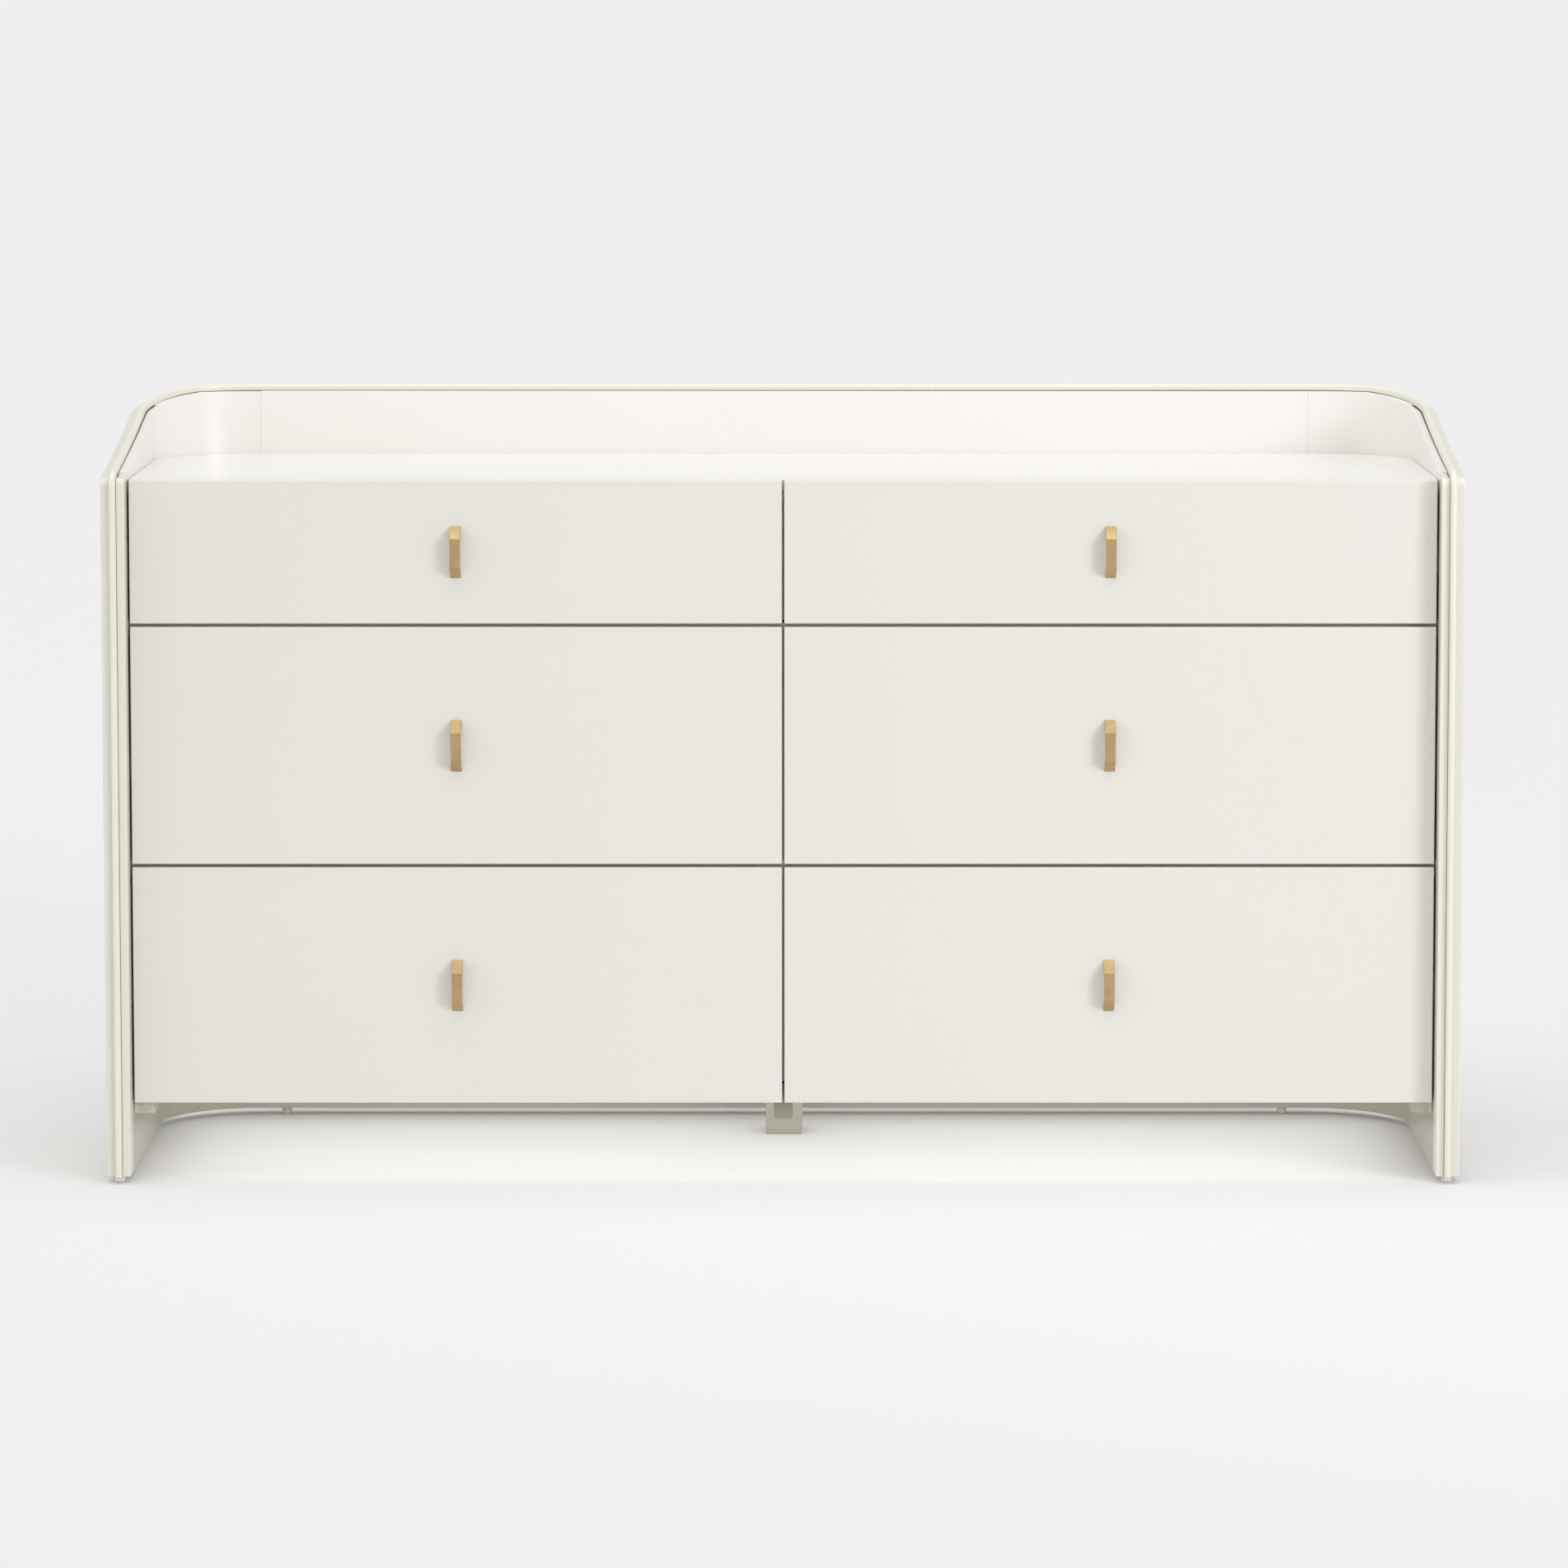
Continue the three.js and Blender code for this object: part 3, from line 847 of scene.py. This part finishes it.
@dataclass
class Wall:
    """The wrap-round wall: shell, lining and edge bead."""

    line: WallLine
    palette: Palette
    strip: float = 10.5 * MM
    shell: float = 18.5 * MM
    joint: float = 0.3 * MM
    seam_gap: float = 0.12 * MM
    rebate: float = 6 * MM
    outer_arris: float = 2.2 * MM
    inner_arris: float = 1.0 * MM
    small_arris: float = 0.3 * MM
    rim_quirk: float = 1.2 * MM
    rim_fall: float = 2.0 * MM
    # Size and place of the near-black strip that paints the shadow along the rim.
    joint_offsets: tuple = (-0.05 * MM, 0.2 * MM)
    joint_start: float = 12 * MM
    joint_sunk: float = 0.8 * MM
    joint_foot: float = 4 * MM
    joint_rise: float = 1.3 * MM
    seam_x: float = 650 * MM
    lipping: float = 33 * MM
    skirt_top: float = 94 * MM
    corner_joint: float = math.radians(19)
    bead_width: float = 7.7 * MM
    bead_inset: float = 4 * MM
    bead_proud: float = 8 * MM
    bead_root: float = 5 * MM
    bead_heights: tuple = (300 * MM, 600 * MM)
    bead_turn_steps: int = 12

    def build(self) -> None:
        """Builds and dresses every piece of the wall."""
        self._shell()
        self._liners()
        self._bead()
        # A near-black strip on each half's rim: painted shadow between bead and lining.
        self._pair("rim_joint", self.palette.dark_joint, self._rim_joint)

    def _flat(
        self, start: float, end: float, outer: float, inner: float, foot: float | None = None
    ) -> tuple[BMesh, float]:
        """A flat board of the wall, its front top corner rounded if it reaches the front.

        Args:
            start: Its first run.
            end: Its last run.
            outer: The offset of its outer face.
            inner: The offset of its inner face.
            foot: The height of its lower edge; the wall's own if left out.

        Returns:
            The board, and the height of its flat top.
        """
        top = self.line.rim(0.0)
        bm = Bench.block((start, outer, foot or self.line.foot), (end, inner, top))
        if start == 0.0:
            Bench.round_edges(
                bm, self.line.rounding, 8, lambda e: Bench.at(e, 0, 0.0) and Bench.at(e, 2, top)
            )
        return bm, top

    def _soften(self, bm: BMesh, offset: float, radius: float) -> None:
        """Rounds the long edges of one face well over, and breaks all the others.

        Args:
            bm: The flat board.
            offset: The face's offset.
            radius: The rounding of its long edges.
        """
        runs = [v.co.x for v in bm.verts]
        seams = [end for end in (min(runs), max(runs)) if end]
        Bench.round_edges(
            bm,
            radius,
            4,
            lambda e: Bench.at(e, 1, offset) and not any(Bench.at(e, 0, seam) for seam in seams),
            sharper_than=8.0,
        )
        Bench.round_edges(bm, self.small_arris, 1)

    def _wing(self, start: float, end: float) -> BMesh:
        """A piece of the shell, rebated along its front and top for the bead.

        Args:
            start: Its first run.
            end: Its last run.

        Returns:
            The piece, bent to the wall's line.
        """
        bm, top = self._flat(start, end, 0.0, self.strip)
        lead = self.rebate if start == 0.0 else 0.0
        if lead:
            Bench.cut(bm, 0, [lead])
        Bench.cut(bm, 2, [top - self.rebate])
        inner = [(f, f.calc_center_median()) for f in bm.faces if f.normal.y > 0.9]
        core = [f for f, middle in inner if middle.x > start + lead and middle.z < top - self.rebate]
        Bench.push(bm, core, (0.0, self.shell - self.strip, 0.0))
        self._soften(bm, 0.0, self.outer_arris)
        Bench.cut(bm, 0, self.line.stations(start, end))
        return self.line.bend(bm, top)

    def _skirt(self, start: float, end: float) -> BMesh:
        """A piece of the lining's plainer foot, below the bottom board, split off to carry painted shade.

        Args:
            start: Its first run.
            end: Its last run.

        Returns:
            The piece, bent to the wall's line.
        """
        low = (start, self.shell + self.joint, self.line.foot)
        bm = Bench.board(low, (end, self.line.thickness, self.skirt_top), self.small_arris)
        Bench.cut(bm, 0, self.line.stations(start, end))
        return self.line.bend(bm, self.line.rim(0.0))

    def _liner(self, start: float, end: float, foot: float | None = None) -> BMesh:
        """A piece of the lining, inside the shell, its top falling inwards.

        Args:
            start: Its first run.
            end: Its last run.
            foot: The height of its lower edge; the wall's own if left out.

        Returns:
            The piece, bent to the wall's line.
        """
        outer, inner = self.shell + self.joint, self.line.thickness
        bm, top = self._flat(start, end, outer, inner, foot)
        upper = [e for e in bm.edges if Bench.at(e, 1, outer) and Bench.at(e, 2, top)]
        long = [e for e in upper if Bench.span(e, 0) > self.line.rounding]
        Bench.round_edges(bm, self.rim_quirk, which=long.__contains__)
        for vert in bm.verts:
            if vert.co.z > top - 1.01 * self.rim_quirk and vert.co.x > start + self.line.rounding / 2:
                vert.co.z -= self.rim_fall * (inner - vert.co.y) / (inner - outer)
        self._soften(bm, inner, self.inner_arris)
        Bench.cut(bm, 0, self.line.stations(start, end))
        return self.line.bend(bm, top)

    def _pair(self, name: str, finish: Finish, make: Callable[[], BMesh], node: str | None = None) -> None:
        """Places a left-hand piece and its mirror image.

        Args:
            name: The piece's name without its side.
            finish: Its finish.
            make: Makes the left-hand body.
            node: The plain solid that it stands for, without its side.
        """
        for side in Side:
            bm = make() if side is Side.LEFT else Bench.mirrored(make())
            nodes = (f"{node}_{side.word}",) if node else ()
            Bench.place(f"{name}_{side.word}", bm, finish, stands_for=nodes)

    def _shell(self) -> None:
        """The two wings and the back board."""
        seam, far = self.line.run_at(-self.seam_x), self.line.run_at(self.seam_x)
        # The shell carries the darker, yellower lacquer: painted shade along the front strips.
        finish = self.palette.lacquer[Tone.WING]
        self._pair("wing", finish, lambda: self._wing(0.0, seam - self.seam_gap), "shell")
        Bench.place("back_board", self._wing(seam, far), finish, stands_for=("shell_back",))

    def _liners(self) -> None:
        """The front lippings, and the side, corner and back lining with its foot."""
        seam, far = self.line.run_at(-self.seam_x), self.line.run_at(self.seam_x)
        turn = self.line.side_run + self.corner_joint / QUARTER * self.line.corner_run
        gap, above = self.seam_gap, self.skirt_top + self.seam_gap
        edge, bright, dim = (self.palette.lacquer[t] for t in (Tone.EDGE, Tone.LINING, Tone.UNDERSIDE))
        # The lippings carry the lighter, yellower lacquer: painted light against the bead's shadow.
        self._pair("front_lipping", edge, lambda: self._liner(0.0, self.lipping - gap))
        # The lining carries the lighter lacquer: painted light from above.
        self._pair("side_lining", bright, lambda: self._liner(self.lipping, turn - gap, above), "side_liner")
        self._pair("corner_lining", bright, lambda: self._liner(turn, seam - gap, above), "corner_liner")
        Bench.place("back_lining", self._liner(seam, far, above), bright, stands_for=("back_liner",))
        # The foot below the bottom board carries the darker lacquer: painted shade under the case.
        self._pair("side_skirt", dim, lambda: self._skirt(self.lipping, turn - gap))
        self._pair("corner_skirt", dim, lambda: self._skirt(turn, seam - gap))
        Bench.place("back_skirt", self._skirt(seam, far), dim)

    def _rim_joint(self) -> BMesh:
        """A dark strip that stands for the shadow between bead and lining on the left half's rim.

        Returns:
            The strip, bent to the wall's line.
        """
        start, end, top = self.joint_start, self.line.run_at(0.0), self.line.rim(0.0)
        outer, inner = (self.shell + offset for offset in self.joint_offsets)
        bm = Bench.block((start, outer, top - self.joint_foot), (end, inner, top - self.joint_sunk))
        Bench.cut(bm, 0, self.line.stations(start, end))
        for vert in bm.verts:
            if vert.co.z > top - self.joint_sunk - TINY:
                vert.co.z += self.joint_rise * self.line.turned(vert.co.x)
        return self.line.bend(bm, top)

    def _bead_line(self) -> list[tuple[Vector, Vector]]:
        """The bead's line on the left half: up the front, over the corner and along the rim.

        Returns:
            Places on the line, each with the outward direction there.
        """
        line, offset = self.line, self.strip + self.bead_inset
        turn_z = line.rim(0.0) - line.rounding
        spots = [(0.0, z) for z in (line.foot, *self.bead_heights, turn_z - line.end_clear)]
        for step in range(self.bead_turn_steps + 1):
            angle = QUARTER * step / self.bead_turn_steps
            run = line.rounding * (1 - math.cos(angle))
            spots.append((run, line.rim(run) - line.rounding * (1 - math.sin(angle))))
        end = line.run_at(0.0)
        runs = [*line.stations(line.rounding, end), line.run_at(-self.seam_x), end]
        spots += [(run, line.rim(run)) for run in runs]
        placed = [(*line.place(run, offset), z) for run, z in spots]
        return [(spot + Vector((0.0, 0.0, z)), out) for spot, out, z in placed]

    def _bead(self) -> None:
        """The half-round bead: a bar with a round nose, bent along its line, then mirrored."""
        line = self._bead_line()
        last, half = len(line) - 1, self.bead_width / 2
        bm = Bench.block((0.0, -half, -self.bead_root), (last, half, self.bead_proud))
        Bench.round_edges(
            bm, half * 0.999, 6, lambda e: Bench.span(e, 0) > 0.5 and Bench.at(e, 2, self.bead_proud)
        )
        Bench.cut(bm, 0, range(1, last))
        inner_end = [f for f in bm.faces if all(v.co.x > last - 0.001 for v in f.verts)]
        bmesh.ops.delete(bm, geom=inner_end, context="FACES_ONLY")
        for vert in bm.verts:
            step = round(vert.co.x)
            at, out = line[step]
            along = line[min(step + 1, last)][0] - line[max(step - 1, 0)][0]
            if step in (0, last):
                along = Vector((1.0, 0.0, 0.0)) if step else Vector((0.0, 0.0, 1.0))
            up = along.cross(out).normalized()
            vert.co = at - out * vert.co.y + up * vert.co.z
        everything = [*bm.verts, *bm.edges, *bm.faces]
        bmesh.ops.mirror(bm, geom=everything, matrix=Matrix.Identity(4), merge_dist=1e-5, axis="X")
        bmesh.ops.remove_doubles(bm, verts=bm.verts, dist=1e-5)
        bmesh.ops.recalc_face_normals(bm, faces=bm.faces)
        # The bead carries the lighter, yellower lacquer: painted light, as on the lippings.
        Bench.place("edge_moulding", bm, self.palette.lacquer[Tone.EDGE], stands_for=("edge_bead",))


# The case.


@dataclass
class Case:
    """The fixed carcase inside the wall, and what it stands on."""

    line: WallLine
    palette: Palette
    arris: float = 0.8 * MM
    fine_arris: float = 0.4 * MM
    leg_arris: float = 1.2 * MM
    wall_gap: float = 0.3 * MM
    packer: float = 5 * MM
    batten_round: float = 3 * MM
    glide_edge: float = 2 * MM
    glide_sides: int = 40
    screw_clear: float = 60 * MM
    divider_screw: float = 2.2 * MM
    divider_screw_sunk: float = 0.3 * MM
    divider_screws_in: tuple = (4 * MM, 2 * MM)
    screw_shares: tuple = (0.0, 0.5, 1.0)

    def build(self) -> None:
        """Builds and dresses every piece of the case."""
        self._panels()
        self._inner_boards()
        self._cleats()
        self._supports()
        self._glides()
        self._fasteners()

    def _set(self, name: str, node: str, tone: Tone, bm: BMesh | None = None) -> None:
        """Places a lacquered board of the case.

        Args:
            name: The piece's name.
            node: The plain solid that it stands for.
            tone: Its lacquer.
            bm: Its body; a square board of the node's size if left out.
        """
        bm = bm or Bench.board(*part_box(node), self.arris)
        Bench.place(name, bm, self.palette.lacquer[tone], stands_for=(node,))

    def _panels(self) -> None:
        """The top and bottom boards, rounded to the wall's corners."""
        radius = self.line.corner - self.line.thickness - self.wall_gap
        # The top board carries the lighter lacquer, painted light from above; the bottom board the darker one,
        # painted shade under the case.
        for name, tone in (("top", Tone.LINING), ("bottom", Tone.UNDERSIDE)):
            low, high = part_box(f"{name}_panel")
            bm = Bench.block(low, high)
            Bench.round_edges(
                bm, radius, CORNER_STEPS, lambda e: Bench.at(e, 1, high.y) and Bench.span(e, 2) > TINY
            )
            self._set(f"{name}_board", f"{name}_panel", tone, Bench.round_edges(bm, self.arris))

    def _inner_boards(self) -> None:
        """The divider, and the rails behind the gaps between rows."""
        # The divider and rails carry the lighter, warmer lacquer: painted light in the gaps.
        self._set("divider", "centre_divider", Tone.INSIDE)
        for height in ("upper", "lower"):
            for side in Side:
                self._set(f"{height}_front_rail_{side.word}", f"{height}_rail_{side.word}", Tone.INSIDE)

    def _cleats(self) -> None:
        """The raw cleats under the bottom board, each with a lacquered packer by the wall."""
        for side in Side:
            node = f"cleat_{side.word}"
            low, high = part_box(node)
            wall, far = (low.x, high.x) if side is Side.LEFT else (high.x, low.x)
            split = wall - side.value * self.packer
            pieces = (
                ("packer", wall, split, self.palette.lacquer[Tone.FRONT], ()),
                ("raw_cleat", split, far, self.palette.raw, (node,)),
            )
            for name, a, b, finish, nodes in pieces:
                corners = (min(a, b), low.y, low.z), (max(a, b), high.y, high.z)
                bm = Bench.board(*corners, self.fine_arris)
                Bench.place(f"{name}_{side.word}", bm, finish, stands_for=nodes)

    def _supports(self) -> None:
        """The centre batten, round on its lower edges, and the square leg."""
        low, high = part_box("centre_batten")
        bm = Bench.block(low, high)
        Bench.round_edges(
            bm, self.batten_round, 5, lambda e: Bench.at(e, 2, low.z) and Bench.span(e, 1) > TINY
        )
        Bench.round_edges(bm, self.fine_arris)
        # The batten carries the near-black lacquer: painted shade under the case.
        self._set("underside_batten", "centre_batten", Tone.BATTEN, bm)
        # The leg carries the darker lacquer: painted shade under the case.
        leg = Bench.board(*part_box("centre_leg"), self.leg_arris)
        self._set("square_leg", "centre_leg", Tone.UNDERSIDE, leg)

    def _glides(self) -> None:
        """The four round glides, with rounded feet."""
        for end in ("front", "back"):
            for side in Side:
                node = f"glide_{end}_{side.word}"
                low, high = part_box(node)
                middle, size = (low + high) / 2, high - low
                middle.z = high.z
                round_body = (size.x / 2, size.z, self.glide_sides, self.glide_edge)
                bm = Bench.disc(middle, (0, 0, -1), *round_body)
                Bench.place(f"{end}_glide_{side.word}", bm, self.palette.nylon, stands_for=(node,))

    def _fasteners(self) -> None:
        """Screws in the divider's front edge, and up through the cleats and batten."""
        low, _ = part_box("centre_divider")
        lower, upper = self.divider_screws_in
        heights = (low.z + lower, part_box("upper_rail_left")[1].z - upper)
        places = [(0.0, low.y + self.divider_screw_sunk, z) for z in heights]
        screws = Bench.screws(places, (0, -1, 0), self.divider_screw)
        Bench.place("divider_screws", screws, self.palette.black_screw)
        places = []
        for node in ("cleat_left", "cleat_right", "centre_batten"):
            low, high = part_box(node)
            reach = high.y - low.y - 2 * self.screw_clear
            spots = [low.y + self.screw_clear + reach * share for share in self.screw_shares]
            places += [((low.x + high.x) / 2, y, low.z) for y in spots]
        Bench.place("underside_screws", Bench.screws(places, (0, 0, -1)), self.palette.steel)


# The drawers.


@dataclass
class Drawer:
    """One drawer with its box, pull and slides."""

    row: str
    side: Side
    palette: Palette
    face_edge: float = 1.3 * MM
    board: float = 12 * MM
    groove: float = 5 * MM
    base_gap: float = 0.3 * MM
    runner: float = 24 * MM
    runner_reach: float = 9.4 * MM
    sheet: float = 1.3 * MM
    sheet_edge: float = 0.35 * MM
    lip: float = 13.2 * MM
    slide_length: float = 300 * MM
    slide_screw: float = 3.0 * MM
    slide_screws_at: tuple = (0.09, 0.5, 0.9)
    pull_bar: float = 34 * MM
    pull_thickness: float = 5 * MM
    pull_edge: float = 0.45 * MM
    pull_screw: float = 4.2 * MM
    pull_screws_off: float = 25 * MM
    bumper: float = 4 * MM
    bumper_height: float = 1.5 * MM
    bumper_inset: float = 22 * MM

    def node(self, part: str) -> str:
        """A part's name with the drawer's row and side."""
        return f"{self.row}_{self.side.word}_{part}"

    def build(self) -> None:
        """Builds and dresses every piece of the drawer."""
        self._face()
        self._box()
        self._pull()
        self._slides()
        self._small_parts()

    def _set(self, part: str, bm: BMesh, finish: Finish, node: str = "", body: str = "") -> None:
        """Places one of the drawer's pieces.

        Args:
            part: The piece's name without the drawer's.
            bm: Its body.
            finish: Its finish.
            node: The part that it stands for, if any.
            body: What it moves with; the drawer if left out.
        """
        nodes = (self.node(node),) if node else ()
        Bench.place(self.node(part), bm, finish, body or self.node("drawer"), nodes)

    def _face(self) -> None:
        """The lacquered face with softened edges."""
        bm = Bench.round_edges(Bench.block(*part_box(self.node("face"))), self.face_edge, 3)
        self._set("front", bm, self.palette.lacquer[Tone.FRONT], "face")

    def _walls(self) -> tuple[Vector, Vector]:
        """The corners of the box's own four boards, without the runners.

        Returns:
            The lowest and the highest corner.
        """
        low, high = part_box(self.node("box"))
        base_low, base_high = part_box(self.node("base"))
        reach = self.board - self.groove + self.base_gap
        return (
            Vector((base_low.x - reach, base_low.y - reach, low.z)),
            Vector((base_high.x + reach, base_high.y + reach, high.z)),
        )

    def _box(self) -> None:
        """Four boards, the ends set between the sides, round a thin base."""
        low, high = self._walls()
        t = self.board
        spans = {
            "box_side_a": ((low.x, low.y, low.z), (low.x + t, high.y, high.z), Grain.DEEP),
            "box_side_b": ((high.x - t, low.y, low.z), (high.x, high.y, high.z), Grain.DEEP),
            "box_front": ((low.x + t, low.y, low.z), (high.x - t, low.y + t, high.z), Grain.ACROSS),
            "box_back": ((low.x + t, high.y - t, low.z), (high.x - t, high.y, high.z), Grain.ACROSS),
        }
        for part, (a, b, grain) in spans.items():
            node = "box" if part == "box_front" else ""
            self._set(part, Bench.board(a, b), self.palette.timber[grain], node)
        self._set("bottom", Bench.board(*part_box(self.node("base")), self.base_gap), self.palette.ply, "base")

    def _pull(self) -> None:
        """The bridge pull: a flat bar and two sloping arms, its edges just broken."""
        low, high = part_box(self.node("pull"))
        middle, foot = (low.z + high.z) / 2, (high.z - low.z) / 2
        bar, reach = self.pull_bar / 2, high.y - low.y
        pad = self.pull_thickness * math.hypot(foot - bar, reach) / reach
        inner = low.y + self.pull_thickness
        upper = [(high.y, foot - pad), (high.y, foot), (low.y, bar)]
        lower = [(y, -z) for y, z in reversed(upper)]
        points = [*upper, *lower, (inner, pad / 4 - bar), (inner, bar - pad / 4)]
        outline = [Vector((low.x, y, middle + z)) for y, z in points]
        bm = Bench.bar(outline, (high.x - low.x, 0.0, 0.0))
        Bench.round_edges(bm, self.pull_edge, 3, sharper_than=25.0)
        self._set("bridge_pull", bm, self.palette.brass, "pull")

    def _channel(
        self, upper: Sequence[tuple], wall: float, inwards: int, start: tuple, length: float
    ) -> BMesh:
        """A pressed channel along Y.

        Args:
            upper: Its section's upper half, from inside: distance from the wall, and height.
            wall: X of the surface that it is screwed to.
            inwards: 1 or -1, the way that it opens.
            start: Y of its front end, and Z of its middle.
            length: Its length.

        Returns:
            The channel.
        """
        half = upper[-1][1]
        points = [*upper, (0.0, half), (0.0, -half), *[(d, -h) for d, h in reversed(upper)]]
        y, z = start
        outline = [Vector((wall + inwards * d, y, z + h)) for d, h in points]
        return Bench.round_edges(Bench.bar(outline, (0.0, length, 0.0)), self.sheet_edge)

    def _slides(self) -> None:
        """Both slides: a lipped channel on the case, a smaller one on the box, and their screws."""
        steel, t, lip = self.palette.steel, self.sheet, self.lip
        reach, tall = self.runner_reach, self.runner / 2
        for part, corner in zip(("slide_left", "slide_right"), self._walls()):
            low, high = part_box(self.node(part))
            wall, inwards = (low.x, 1) if part == "slide_left" else (high.x, -1)
            start = low.y, (low.z + high.z) / 2
            depth, half = high.x - low.x, (high.z - low.z) / 2
            lipped = [(t, half - t), (depth - t, half - t), (depth - t, lip), (depth, lip), (depth, half)]
            channel = self._channel(lipped, wall, inwards, start, high.y - low.y)
            self._set(f"{part}_channel", channel, steel, part, CASE)
            plain = [(t, tall - t), (reach, tall - t), (reach, tall)]
            member = self._channel(plain, corner.x, -inwards, start, self.slide_length)
            self._set(f"{part}_member", member, steel)
            webs = (("case", wall, inwards, CASE), ("box", corner.x, -inwards, ""))
            for owner, x, facing, body in webs:
                ys = [low.y + share * self.slide_length for share in self.slide_screws_at]
                places = [(x + facing * t, y, start[1]) for y in ys]
                screws = Bench.screws(places, (facing, 0, 0), self.slide_screw)
                self._set(f"{part}_{owner}_screws", screws, steel, body=body)

    def _small_parts(self) -> None:
        """The pull's two screws inside the box, and the face's bumpers."""
        low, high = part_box(self.node("pull"))
        walls_low, walls_high = self._walls()
        x, middle = (low.x + high.x) / 2, (low.z + high.z) / 2
        heights = (middle - self.pull_screws_off, middle + self.pull_screws_off)
        places = [(x, walls_low.y + self.board, z) for z in heights]
        self._set("pull_screws", Bench.screws(places, (0, 1, 0), self.pull_screw), self.palette.steel)
        low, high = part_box(self.node("face"))
        edges = ((low.x + walls_low.x) / 2, (high.x + walls_high.x) / 2)
        heights = (low.z + self.bumper_inset, high.z - self.bumper_inset)
        spots = [(x, high.y, z) for x in edges for z in heights]
        dots = [Bench.disc(spot, (0, 1, 0), self.bumper, self.bumper_height) for spot in spots]
        self._set("bumpers", Bench.joined(dots), self.palette.rubber)


# The studio.


@dataclass
class Lamp:
    """A soft light: a near panel, or a far one that lights everything alike."""

    name: str
    at: tuple
    aim: tuple = (0.0, 0.0, 0.5)
    size: tuple | None = None
    power: float = 1.0
    spread: float = 40.0
    tint: tuple = (1.0, 1.0, 1.0)

    def build(self) -> None:
        """Hangs the light."""
        data = bpy.data.lights.new(self.name, "AREA" if self.size else "SUN")
        if self.size:
            data.shape = "RECTANGLE"
            data.size, data.size_y = self.size
            data.spread = math.radians(self.spread)
        else:
            data.angle = math.radians(self.spread)
        data.energy = self.power
        data.color = self.tint
        light = bpy.data.objects.new(self.name, data)
        light.location = self.at
        direction = Vector(self.aim) - Vector(self.at)
        light.rotation_euler = direction.to_track_quat("-Z", "Y").to_euler()
        bpy.context.scene.collection.objects.link(light)


@dataclass
class Studio:
    """Floor, soft lights and the camera."""

    floor_size: float = 1600.0
    backdrop: tuple = (0.70, 0.70, 0.70)
    eye: tuple = (0.0248, -7.6741, 1.4263)
    pitch: float = 5.444
    lens: float = 146.23
    sensor: float = 36.0
    shift: tuple = (-0.01285, -0.13)
    lamps: tuple = (
        Lamp("key", (4.6, -5.0, 2.2), power=0.55, spread=18.0),
        Lamp("overhead", (0.0, -0.9, 5.0), power=1.0, spread=60.0),
        Lamp("left_fill", (-6.0, -1.4, 3.2), power=0.62, spread=50.0),
        Lamp("right_panel", (2.7, -2.7, 1.7), (0.4, 0.0, 0.6), (1.2, 1.6), 4.0, 60.0, (0.90, 0.82, 1.0)),
        Lamp("low_panel", (0.0, 0.0, 0.066), (0.0, 0.0, 0.0), (1.50, 0.40), 1.5, 180.0),
    )

    def build(self) -> None:
        """Builds the studio round the dresser."""
        self._floor()
        self._backdrop()
        for lamp in self.lamps:
            lamp.build()
        self._camera()
        bpy.context.scene.view_settings.view_transform = "Standard"

    def _floor(self) -> None:
        """The pale floor, which isn't part of the dresser."""
        bm = bmesh.new()
        bmesh.ops.create_grid(bm, x_segments=1, y_segments=1, size=self.floor_size / 2)
        mesh = bpy.data.meshes.new("studio_floor")
        bm.to_mesh(mesh)
        bm.free()
        mesh.materials.append(StudioFloor().material())
        floor = bpy.data.objects.new("studio_floor", mesh)
        bpy.context.scene.collection.objects.link(floor)

    def _backdrop(self) -> None:
        """Even, pale surroundings that the floor runs into."""
        world = bpy.data.worlds.new("studio")
        world.use_nodes = True
        shade = world.node_tree.nodes["Background"]
        shade.inputs["Color"].default_value = (*self.backdrop, 1.0)
        bpy.context.scene.world = world

    def _camera(self) -> None:
        """The camera in front, a little above the top."""
        data = bpy.data.cameras.new("camera")
        data.lens = self.lens
        data.sensor_width = self.sensor
        data.shift_x, data.shift_y = self.shift
        data.clip_end = self.floor_size
        camera = bpy.data.objects.new("camera", data)
        camera.location = self.eye
        camera.rotation_euler = Euler((math.radians(90.0 - self.pitch), 0.0, 0.0))
        bpy.context.scene.collection.objects.link(camera)
        bpy.context.scene.camera = camera


def main() -> None:
    """Builds the studio and the dresser."""
    logging.basicConfig(level=logging.INFO, format="%(message)s")
    Studio().build()
    palette = Palette()
    line = WallLine()
    Wall(line, palette).build()
    Case(line, palette).build()
    for side in Side:
        for row in ROWS:
            Drawer(row, side, palette).build()


if __name__ == "__main__":
    main()
